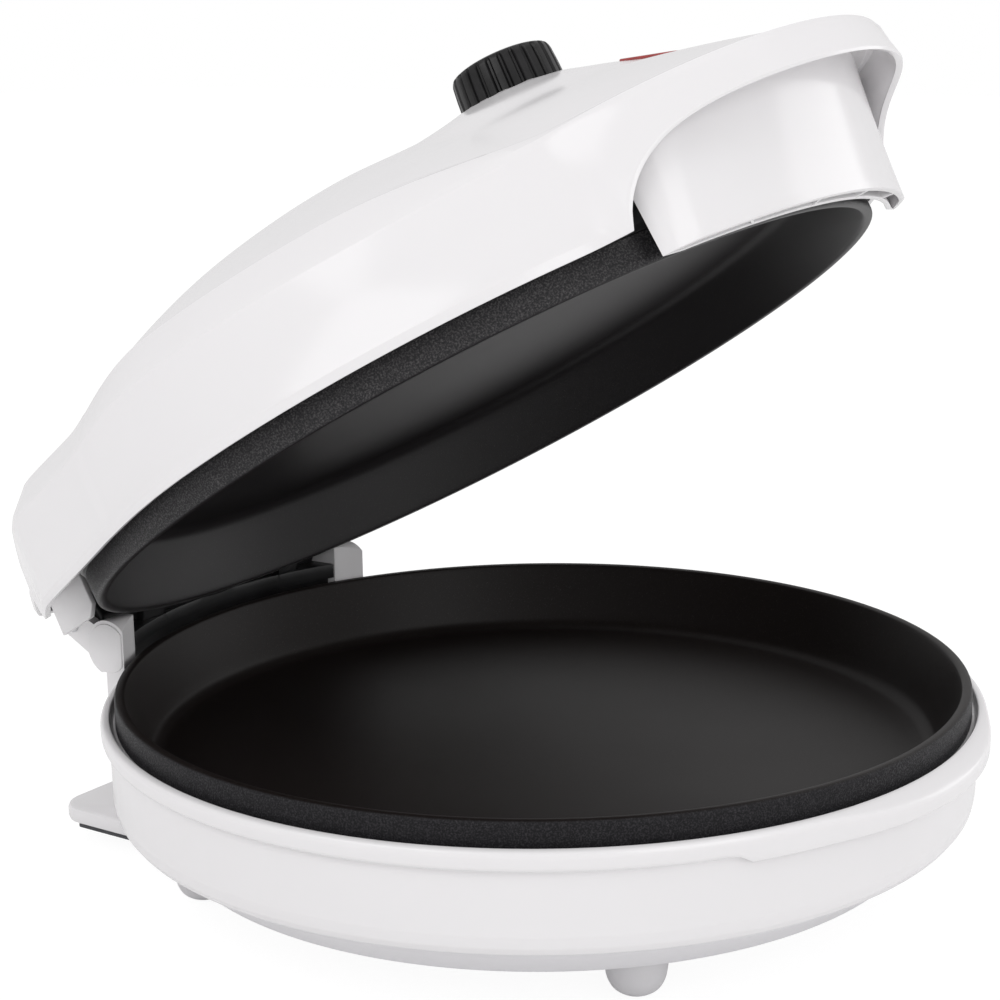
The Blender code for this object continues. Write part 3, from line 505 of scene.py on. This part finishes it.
# The heating parts. A sheathed steel element is clamped behind each pan over a bright pressed
# dish; the steel is straw-coloured where it has been hot.
def pressed_steel(name, colour, roughness, seat=Matrix()):
    """Bare steel with fine drawing streaks and straw-coloured clouds."""
    finish = Finish(name, colour, roughness, Metallic=1.0)
    where = finish.place(seat)
    heat = finish.noise(where, 22.0, 3.0)
    streak = finish.noise(finish.place(seat, (60.0, 60.0, 900.0)), 1.0, 3.0)
    straw = (colour[0] * 0.9, colour[1] * 0.8, colour[2] * 0.62)
    finish.feed("Base Color", finish.tint(colour, straw, heat.over(0.45, 0.75)))
    finish.feed("Roughness", roughness - 0.06 + 0.16 * streak)
    finish.feed("Normal", finish.bump(streak, 0.06, 0.0001))
    return finish.material


def dress(finish, *nodes):
    """Gives carried-over solids a finish of their own."""
    for node in nodes:
        for slot in frame["nodes"][node].material_slots:
            slot.material = finish


sheath_steel = pressed_steel("heated_sheath", (0.42, 0.40, 0.38), 0.38, base_seat)
dress(sheath_steel, "lower_element", "upper_element")
dish_steel = pressed_steel("bright_dish", (0.62, 0.62, 0.63), 0.24, base_seat)
dress(dish_steel, "lower_reflector", "upper_reflector")
dress(pressed_steel("thermostat_steel", (0.52, 0.52, 0.53), 0.32), "thermostat")


# The ring inside the lid. It is stamped from black enamelled steel and holds the upper pan's band
# up inside the skirt; only its foot shows, as a dark line.
def black_enamel(name, colour=(0.012, 0.012, 0.0125), roughness=0.34, seat=Matrix()):
    """Black enamel over steel, with a thin veil of dust."""
    finish = Finish(name, colour, roughness, Specular_IOR_Level=0.5)
    where = finish.place(seat)
    dust = finish.noise(where, 40.0, 4.0, 0.6)
    grain = finish.noise(where, 1100.0, 2.0)
    veil = tuple(part * 2.1 for part in colour)
    finish.feed("Base Color", finish.tint(colour, veil, dust.over(0.35, 0.8)))
    finish.feed("Roughness", roughness - 0.04 + 0.16 * dust)
    finish.feed("Normal", finish.bump(grain, 0.10))
    return finish.material


ring_black = black_enamel("enamelled_ring", seat=lid_seat)
ring_radius, ring_sheet, ring_foot, ring_rise = 0.1622, 0.0016, 0.0118, 0.0105
ring = turned("pan_ring", eased([
    (ring_radius, ring_foot + ring_rise), (ring_radius, ring_foot + 0.0062),
    (pan_radius, ring_foot + 0.0022), (pan_radius, ring_foot), (pan_radius - 0.002, ring_foot),
    (pan_radius - 0.002, ring_foot + 0.0032), (ring_radius - ring_sheet, ring_foot + 0.0076),
    (ring_radius - ring_sheet, ring_foot + ring_rise), (ring_radius, ring_foot + ring_rise)], 0.0004))
fasten(ring, "lid", ring_black, "lid_pan_ring", seat=lid_seat)


# The lid's shell. One gloss white moulding: a skirt with a bead round its foot, a chamfer and a
# shallow crown, drawn out in front to a visor that arches over the handle and behind to the cover
# that hides the hinge. A bpy.ops piece can't follow this outline, so its skin is laid in sections.
lid_radius, skirt_bottom, skirt_top = 0.1654, 0.010, 0.0465
nose_centre, nose_radius = 0.09836, 0.10304
visor_edge, arch_end = 0.0357, math.radians(32.2)
cover_crease, cover_foot, crown_top, crown_power = 0.050, 0.0565, 0.1005, 1.8
cover_start = math.radians(74.7)
rear_points = ((0.1592, 0.0448), (0.142, 0.108), (0.078, 0.184))
foot_beside_cover, foot_over_posts, shell_wall = 0.0065, 0.0192, 0.0024
platform_radius, platform_fall, platform_fade = 0.0265, 0.40, (0.044, 0.066)
knob_forward, knob_height, knob_tilt = 0.074, 0.0932, math.radians(5)
out_of_the_way = 1.0


def smooth_less(first, second, blend):
    """The less of two lengths, with a small curve where they cross."""
    return (first + second - math.sqrt((first - second) ** 2 + blend ** 2)) / 2


def straight_reach(angle, first, second):
    """How far the line through two plan points of the cover reaches at this angle from the front."""
    normal = Vector((second[1] - first[1], first[0] - second[0])).normalized()
    facing = normal.dot(Vector((abs(math.sin(angle)), -math.cos(angle))))
    return normal.dot(Vector(first)) / facing if facing > 0.2 else out_of_the_way


def lid_outline(angle):
    """How far the shell reaches in plan: the skirt's circle, the visor's nose and the cover behind."""
    across = nose_centre * math.sin(angle)
    nose = 0.0
    if abs(across) < nose_radius:
        nose = nose_centre * math.cos(angle) + math.sqrt(nose_radius ** 2 - across ** 2)
    outline = smooth_greater(lid_radius, nose, 0.004)
    if math.pi - abs(angle) < cover_start:
        side = straight_reach(angle, rear_points[0], rear_points[1])
        slant = straight_reach(angle, rear_points[1], rear_points[2])
        straight = rear_points[2][1] / -math.cos(angle) if math.cos(angle) < -0.2 else out_of_the_way
        cover = smooth_less(smooth_less(side, slant, 0.004), straight, 0.003)
        outline = smooth_greater(outline, cover, 0.0007)
    return outline


def lid_foot(angle):
    """The height of the shell's lower edge: it arches over the handle and clears the posts behind."""
    turn = abs(angle)
    behind = math.degrees(math.pi - turn)
    if turn < arch_end:
        return mix(skirt_bottom, visor_edge, (1.0 - (turn / arch_end) ** 7.0) ** 0.7)
    side = mix(foot_beside_cover, skirt_bottom, smooth_step(48, 92, behind))
    return mix(foot_over_posts, side, smooth_step(37, 44, behind))


def lid_levels(angle):
    """The shell's section from its lower edge over bead, skirt and chamfer to the foot of the crown."""
    front = 1.0 - smooth_step(math.radians(28), math.radians(62), abs(angle))
    behind = 1.0 - smooth_step(68, 90, math.degrees(math.pi - abs(angle)))
    bead = 0.0011 * smooth_step(arch_end, arch_end + math.radians(4), abs(angle))
    outline, bottom = lid_outline(angle), lid_foot(angle)
    top = mix(skirt_top, cover_crease - 0.009, behind)
    squeezed = min(1.0, (top - bottom) / (top - skirt_bottom))
    low, high = 0.0032 * squeezed, 0.0063 * squeezed
    shoulder = outline - 0.002
    crease_radius = shoulder - mix(0.009, 0.0026, front)
    crease = mix(skirt_top + mix(0.011, 0.0041, front), cover_crease, behind)
    step_radius = mix(crease_radius - 0.0015, min(crease_radius - 0.0015, pan_radius - 0.012), behind)
    foot_radius = mix(crease_radius - 0.003, min(step_radius - 0.0015, pan_radius - 0.019), behind)
    foot = mix(crease + mix(0.0015, -0.0003, front), cover_foot, behind)
    step = mix(mix(crease, foot, 0.5), cover_crease + 0.0015, behind)
    return [(outline + bead - 0.0005, bottom), (outline + bead, bottom + low),
            (outline - 0.0002, bottom + high),
            (mix(outline, shoulder, 0.5), mix(bottom + high, top, 0.5)),
            (shoulder + 0.0004, top - 0.0018 + 0.003 * front),
            (shoulder - 0.0012 + 0.0006 * front, top + 0.0009 + 0.0026 * front),
            (crease_radius, crease), (step_radius, step), (foot_radius, foot)]


def crown_point(angle, share):
    """A point on the crown, which swells into a low round platform under the knob."""
    foot_radius, foot = lid_levels(angle)[-1]
    radius = foot_radius * share
    crown = mix(crown_top, foot, share ** crown_power)
    along, across = radius * math.sin(angle), -radius * math.cos(angle)
    plane = knob_height - 0.0004 + (across + knob_forward) * math.tan(knob_tilt)
    off = math.hypot(along, across + knob_forward)
    platform = plane - platform_fall * max(0.0, off - platform_radius)
    raised = smooth_greater(crown, platform, 0.0034)
    return (along, across, mix(raised, crown, smooth_step(*platform_fade, off)))


def crown_height(angle, reach):
    """How high the crown stands this far out from the lid's middle."""
    return crown_point(angle, reach / lid_levels(angle)[-1][0])[2]


def as_piece(name, sections):
    """The skin that was laid in sections, as a piece of its own."""
    bmesh.ops.recalc_face_normals(sections, faces=sections.faces)
    piece = bpy.data.objects.new(name, bpy.data.meshes.new(name))
    sections.to_mesh(piece.data)
    sections.free()
    bpy.context.scene.collection.objects.link(piece)
    return piece


# A section every degree, with more where the visor's arch ends and where the cover's corners turn.
turns = [math.radians(step) for step in range(-180, 180)]
turns += [way * math.radians(step + part) for way in (-1, 1)
          for step in range(25, 34) for part in (0.33, 0.67)]
turns += [way * math.radians(step + 0.5) for way in (-1, 1) for step in range(135, 155)]
crown_rings = 40
shell_mesh = bmesh.new()
rows = []
for turn in sorted(turns):
    row = [(radius * math.sin(turn), -radius * math.cos(turn), height)
           for radius, height in lid_levels(turn)]
    row += [crown_point(turn, 1.0 - ring / crown_rings) for ring in range(1, crown_rings)]
    rows.append([shell_mesh.verts.new(point) for point in row])
peak = shell_mesh.verts.new((0.0, 0.0, crown_point(0.0, 0.0)[2]))
for row, following in zip(rows, rows[1:] + rows[:1]):
    for index in range(len(row) - 1):
        shell_mesh.faces.new((row[index], following[index], following[index + 1], row[index + 1]))
    shell_mesh.faces.new((row[-1], following[-1], peak))
shell = as_piece("lid_moulding", shell_mesh)


def apply_change(piece, kind, **settings):
    """Adds a modifier to a piece and applies it."""
    change = piece.modifiers.new(kind.lower(), kind)
    for setting, value in settings.items():
        setattr(change, setting, value)
    pick(piece)
    bpy.ops.object.modifier_apply(modifier=change.name)


def round_edges(piece, width, segments=3, angle=40):
    """Rounds every edge that is sharper than this many degrees."""
    apply_change(piece, "BEVEL", width=width, segments=segments, limit_method="ANGLE",
                 angle_limit=math.radians(angle))


def cut(piece, tool, operation="DIFFERENCE"):
    """Takes a tool's shape out of a piece, or joins it on, and clears the tool away."""
    apply_change(piece, "BOOLEAN", operation=operation, object=tool, solver="EXACT")
    bpy.data.objects.remove(tool, do_unlink=True)


def round_bar(name, radius, low, high, along="X", at=(0.0, 0.0, 0.0), sides=96):
    """A plain bar between two distances along X or Z; it serves as a pin or as a cutter."""
    bpy.ops.object.select_all(action="DESELECT")
    bpy.ops.mesh.primitive_cylinder_add(vertices=sides, radius=radius, depth=high - low,
                                        location=(0.0, 0.0, 0.0))
    bar = bpy.context.object
    bar.name = name
    turn = Matrix.Rotation(math.pi / 2, 4, "Y") if along == "X" else Matrix()
    bar.data.transform(Matrix.Translation(at) @ turn @ Matrix.Translation((0.0, 0.0, (low + high) / 2)))
    return bar


def plain_block(name, size, seat):
    """A block of this width, length and height, with its middle at the seat."""
    bpy.ops.object.select_all(action="DESELECT")
    bpy.ops.mesh.primitive_cube_add(size=1.0)
    block = bpy.context.object
    block.name = name
    block.data.transform(seat @ Matrix.Diagonal((*size, 1.0)))
    return block


apply_change(shell, "SOLIDIFY", thickness=shell_wall, offset=-1.0, use_even_offset=True)
round_edges(shell, 0.0007, angle=24)
knob_seat = Matrix.Translation((0.0, -knob_forward, knob_height)) @ Matrix.Rotation(knob_tilt, 4, "X")
for name, radius, low, high in (("knob_room", 0.0212, -0.0004, 0.016),
                                ("shaft_hole", 0.0037, -0.012, 0.012)):
    drill = round_bar(name, radius, low, high, "Z")
    drill.data.transform(knob_seat)
    cut(shell, drill)
lens_forward, lens_length, lens_width, lens_play = 0.131, 0.023, 0.008, 0.0006
lens_back = crown_height(0.0, lens_forward - lens_length / 2)
lens_front = crown_height(0.0, lens_forward + lens_length / 2)
lens_seat = (Matrix.Translation((0.0, -lens_forward, (lens_back + lens_front) / 2))
             @ Matrix.Rotation(math.atan2(lens_back - lens_front, lens_length), 4, "X"))
cut(shell, plain_block("window", (lens_width + lens_play, lens_length + lens_play, 0.02), lens_seat))
lid_white = gloss_white("gloss_white_lid", white, 0.16, lid_seat)
fasten(shell, "lid", lid_white, "lid_shell", seat=lid_seat, angle=30)


# The handle. A double wall closed by ribs, moulded white like the shell and welded up behind the
# visor; fingers reach over its outer face.
def smooth_copy(node, name, finish, edge=0.0, angle=30):
    """A piece that stands for a solid: its faces are joined up, its edges rounded and curves smoothed."""
    piece = bpy.data.objects.new(name, frame["nodes"][node].data.copy())
    bpy.context.scene.collection.objects.link(piece)
    pick(piece)
    bpy.ops.object.mode_set(mode="EDIT")
    bpy.ops.mesh.select_all(action="SELECT")
    bpy.ops.mesh.remove_doubles(threshold=welded)
    bpy.ops.mesh.tris_convert_to_quads(face_threshold=math.radians(50), shape_threshold=math.radians(60))
    bpy.ops.object.mode_set(mode="OBJECT")
    if edge:
        round_edges(piece, edge, 2, angle)
    return fasten(piece, frame["nodes"][node]["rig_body"], finish, node, angle=angle)


grip_turn, grip_inside, grip_foot = math.radians(30), 0.1645, 0.172
grip_lean, grip_behind_edge, grip_turned_in = 0.009, 0.0055, 0.0030
inner_lean, lean_height, let_in = 0.0015, 0.06, 0.0004


def grip_reach(angle, height):
    """How far the wall's outer face stands out: it leans outwards and turns in at its ends."""
    share = abs(angle) / grip_turn
    lean = grip_lean * (height / visor_edge) * (1.0 - share ** 2)
    turned_in = grip_turned_in * smooth_step(0.82, 1.0, share) ** 1.5
    return min(grip_foot + lean, lid_outline(angle) - grip_behind_edge) - turned_in


def wall_between(name, first, last, inner, outer, low, high, ends):
    """A curved block from one angle to another; its inner face is this share as wide as its outer one."""
    block, rings, levels = bmesh.new(), [], 14
    steps = max(2, round(math.degrees(last - first)))
    for step in range(steps + 1):
        angle = mix(first, last, step / steps)
        inner_angle = angle * ends
        top = 0.05
        for closer in range(12):
            top = high(angle, outer(angle, top))
        ring = []
        for level in range(levels + 1):
            height = mix(low, top, level / levels)
            reach = outer(angle, height)
            ring.append(block.verts.new((reach * math.sin(angle), -reach * math.cos(angle), height)))
        inner_top = high(inner_angle, inner + inner_lean)
        for level in range(levels, -1, -1):
            height = mix(low, inner_top, level / levels)
            reach = inner + inner_lean * max(0.0, height) / lean_height
            ring.append(block.verts.new((reach * math.sin(inner_angle),
                                         -reach * math.cos(inner_angle), height)))
        rings.append(ring)
    for ring, following in zip(rings, rings[1:]):
        for index in range(len(ring)):
            after = (index + 1) % len(ring)
            block.faces.new((ring[index], following[index], following[after], ring[after]))
    for ring in (rings[0], rings[-1]):
        for level in range(levels):
            block.faces.new((ring[level], ring[level + 1], ring[-2 - level], ring[-1 - level]))
    return as_piece(name, block)


def under_crown(angle, reach):
    """The underside of the crown this far out, plus the little that the wall is let into it."""
    return crown_height(angle, reach) - shell_wall + let_in


grip = wall_between("grip_wall", -grip_turn, grip_turn, grip_inside, grip_reach, 0.0, under_crown, 0.895)
pocket_turn, half_rib, pocket_top = math.radians(12), math.radians(0.25), 0.024
grip_outer_wall, grip_inner_wall = 0.0022, 0.0018
for number in range(-2, 3):
    first, last = (number - 0.5) * pocket_turn + half_rib, (number + 0.5) * pocket_turn - half_rib
    first, last = max(first, -grip_turn + 4 * half_rib), min(last, grip_turn - 4 * half_rib)
    cut(grip, wall_between("grip_pocket", first, last, grip_inside + grip_inner_wall,
                           lambda angle, height: grip_reach(angle, height) - grip_outer_wall, -0.001,
                           lambda angle, reach: pocket_top, 0.93))
round_edges(grip, 0.0005, 2, 38)
fasten(grip, "lid", lid_white, "handle_wall", seat=lid_seat, angle=34)


# The hinge. Two white posts with pressed-in end caps stand on the heel plate behind the tub; a
# black enamelled barrel turns between them on steel pins, held by two black arms under the lid.
head_behind, head_above, head_radius = 0.1525, 0.0030, 0.0112
ear_inside, ear_at_head, ear_at_pin = 0.0703, 0.0068, 0.0056
cap_proud, pin_radius = 0.0006, 0.0030
axis_at = (0.0, axis_behind, axis_above)
base_pan_room, lid_pan_room = pan_radius + 0.0009, pan_radius + 0.0029
post_inside, post_outside = 0.0630, 0.0755
post_front, post_back, post_foot = 0.139, 0.154, -0.0622
front_shoulder, back_shoulder = -0.0060, -0.0070


def slab(name, outline, inner, outer):
    """A flat-sided piece: its outline, drawn seen from the side, is given its thickness across."""
    piece = drawn_line(name, [(inner, along, height) for along, height in outline])
    bpy.ops.mesh.edge_face_add()
    bpy.ops.mesh.extrude_region_move(TRANSFORM_OT_translate={"value": (outer - inner, 0.0, 0.0)})
    bpy.ops.mesh.select_all(action="SELECT")
    bpy.ops.mesh.normals_make_consistent(inside=False)
    bpy.ops.object.mode_set(mode="OBJECT")
    return piece


def arc(along, height, radius, first, last, steps):
    """The points of an arc seen from the side, between two angles in degrees."""
    turns = [math.radians(mix(first, last, step / steps)) for step in range(steps + 1)]
    return [(along + radius * math.cos(turn), height + radius * math.sin(turn)) for turn in turns]


for side, way in (("left", -1), ("right", 1)):
    post = slab("post_" + side,
                [(post_front, post_foot), (post_back, post_foot), (post_back, back_shoulder)]
                + arc(head_behind, head_above, head_radius, -68, 212, 56)
                + [(post_front, front_shoulder)], way * post_inside, way * post_outside)
    cut(post, round_bar("base_pan_room", base_pan_room, -0.025, -0.0079, "Z", sides=240))
    cut(post, round_bar("lid_pan_room", lid_pan_room, -0.0080, 0.030, "Z", sides=240))
    ear = slab("ear_" + side, arc(head_behind + 0.004, head_above, ear_at_head, 108, 288, 18)
               + arc(axis_behind, axis_above, ear_at_pin, -72, 108, 18),
               way * ear_inside, way * (post_outside - cap_proud))
    cut(post, ear, "UNION")
    round_edges(post, 0.0009)
    fasten(post, "base", tub_white, "hinge_post_" + side, seat=base_seat, angle=32)
    cap = slab("end_cap_" + side, arc(head_behind, head_above, head_radius - 0.0014, -140, 140, 47),
               way * (post_outside - cap_proud), way * (post_outside + cap_proud))
    round_edges(cap, 0.0004, 2)
    fasten(cap, "base", tub_white, "hinge_cap_" + side, seat=base_seat, angle=32)
    ends = sorted((way * (post_inside + 0.0010), way * (post_outside + 0.0004)))
    pin = round_bar("pin_" + side, pin_radius, *ends, at=axis_at, sides=64)
    round_edges(pin, 0.0005)
    pin_steel = pressed_steel("pin_steel_" + side, (0.56, 0.56, 0.57), 0.2)
    fasten(pin, "base", pin_steel, "hinge_pin_" + side, seat=base_seat)
for side in ("left", "right"):
    smooth_copy("cover_bracket_" + side, "cover_cheek_" + side, lid_white, edge=0.0004)
    smooth_copy("hinge_arm_" + side, "arm_" + side, ring_black, edge=0.0005)
rail_black = black_enamel("black_rail", (0.010, 0.010, 0.0105), 0.30, base_seat)
rail_end, rail_front, rail_back = post_inside - 0.0005, 0.1485, 0.1705
rail_foot, rail_top, barrel_room = -0.0080, 0.0066, 0.0094
rail_lip, rail_ledge = -0.0020, 0.1610
arm_middle, arm_half, arm_reach = 0.042, 0.0068, 0.0130
rail = slab("rail", [(rail_front, rail_foot), (rail_back, rail_foot), (rail_back, rail_lip)]
            + arc(axis_behind, axis_above, barrel_room, -126, -160, 12)
            + [(rail_ledge, rail_top), (rail_front, rail_top)], -rail_end, rail_end)
cut(rail, round_bar("tub_room", band_radius + 0.0005, -0.030, 0.0005, "Z", sides=240))
cut(rail, round_bar("lid_pan_room", lid_pan_room, -0.001, 0.030, "Z", sides=240))
for middle in (-arm_middle, arm_middle):
    cut(rail, round_bar("arm_room", arm_reach, middle - arm_half, middle + arm_half, at=axis_at))
round_edges(rail, 0.0005, 2)
fasten(rail, "base", rail_black, "hinge_rail", seat=base_seat)
smooth_copy("hinge_barrel", "barrel", ring_black, edge=0.0003)


# The heel. A white plate with two dark rubber strips under it, on which the shut maker stands
# on end in a cupboard.
smooth_copy("heel_plate", "heel", tub_white)


def soft_rubber(name, colour, roughness):
    """Matt rubber with pale scuffs."""
    finish = Finish(name, colour, roughness, Specular_IOR_Level=0.3)
    where = finish.place()
    scuff = finish.noise(where, 60.0, 4.0, 0.6)
    grain = finish.noise(where, 1500.0, 2.0)
    scuffed = tuple(part * 1.8 for part in colour)
    finish.feed("Base Color", finish.tint(colour, scuffed, scuff.over(0.4, 0.8)))
    finish.feed("Roughness", roughness - 0.08 + 0.14 * scuff)
    finish.feed("Normal", finish.bump(grain, 0.18))
    return finish.material


pad_rubber = soft_rubber("heel_rubber", (0.06, 0.06, 0.065), 0.7)
for side in ("left", "right"):
    smooth_copy("heel_pad_" + side, "heel_strip_" + side, pad_rubber)


# The bush where the mains lead would enter the tub's back wall: a flanged sleeve of black rubber.
bush_rubber = soft_rubber("bush_rubber", (0.022, 0.022, 0.023), 0.6)
smooth_copy("cord_gland", "lead_bush", bush_rubber, edge=0.0004)


# The control knob. Black ABS with straight ribs to grip, a little narrower at the top, pressed
# onto the thermostat's steel shaft; a white stroke on its face shows the setting.
knob_black = Finish("knob_black", (0.006, 0.006, 0.006), 0.3, Specular_IOR_Level=0.34)
where = knob_black.place(lid_seat @ knob_seat)
scuff = knob_black.noise(where, 70.0, 4.0, 0.65)
grain = knob_black.noise(where, 1800.0, 2.0)
rubbed = knob_black.tint((0.005, 0.005, 0.0052), (0.016, 0.015, 0.016), scuff.over(0.4, 0.75))
knob_black.feed("Base Color", rubbed)
knob_black.feed("Roughness", 0.24 + 0.16 * scuff)
knob_black.feed("Normal", knob_black.bump(grain, 0.08))
knob_radius, knob_rise, ribs, steps_per_rib, groove = 0.020, 0.016, 26, 12, 0.0012
knob = turned("ribbed_knob", eased([
    (0.0, 0.0), (knob_radius, 0.0), (knob_radius, 0.0008), (knob_radius - 0.0001, 0.0014),
    (knob_radius - 0.0004, 0.0080), (knob_radius - 0.0009, knob_rise - 0.0024),
    (knob_radius - 0.0016, knob_rise - 0.0007), (knob_radius - 0.0034, knob_rise),
    (0.0, knob_rise)], 0.0005), ribs * steps_per_rib)
for vertex in knob.data.vertices:
    radius, angle = math.hypot(vertex.co.x, vertex.co.y), math.atan2(vertex.co.x, vertex.co.y)
    if radius < knob_radius - 0.0030 or vertex.co.z < 0.0012:
        continue
    wave = 0.5 + 0.5 * math.cos(ribs * angle)
    fade = 1.0 - smooth_step(knob_rise - 0.0022, knob_rise - 0.0002, vertex.co.z)
    tighter = 1.0 - groove * smooth_step(0.62, 0.95, wave) * fade / radius
    vertex.co.x *= tighter
    vertex.co.y *= tighter
cut(knob, round_bar("shaft_bore", 0.0033, -0.0050, 0.0112, "Z", sides=48))
fasten(knob, "knob", knob_black.material, "control_knob", seat=lid_seat @ knob_seat, angle=28)
smooth_copy("knob_pointer", "pointer_stroke", gloss_white("stroke_white", (0.78, 0.78, 0.78), 0.35))
dress(pressed_steel("shaft_steel", (0.55, 0.55, 0.56), 0.25), "knob_shaft")


# The indicator. A long lens of clear red polycarbonate clipped into the crown in front of the
# knob, with the heating lamp and the mains lamp standing under it.
lens_red = Finish("red_polycarbonate", (0.34, 0.030, 0.026), 0.12, Coat_Weight=0.6, Coat_Roughness=0.03,
                  Subsurface_Weight=0.15, Subsurface_Scale=0.002)
where = lens_red.place(lid_seat @ lens_seat)
pip = lens_red.noise(where, 260.0, 2.0)
lens_red.feed("Base Color", lens_red.tint((0.26, 0.020, 0.018), (0.42, 0.045, 0.040), pip))
lens_red.feed("Roughness", 0.08 + 0.12 * pip)
lens_red.feed("Normal", lens_red.bump(pip, 0.12))
lens_proud, lens_deep = 0.0006, 0.0026
lens = plain_block("lens", (lens_width, lens_length, lens_deep),
                   Matrix.Translation((0.0, 0.0, lens_proud - lens_deep / 2)))
round_edges(lens, 0.0006, 4)
fasten(lens, "lid", lens_red.material, "indicator_lens", seat=lid_seat @ lens_seat, angle=40)
dress(lens_red.material, "lamp_heat", "lamp_power")
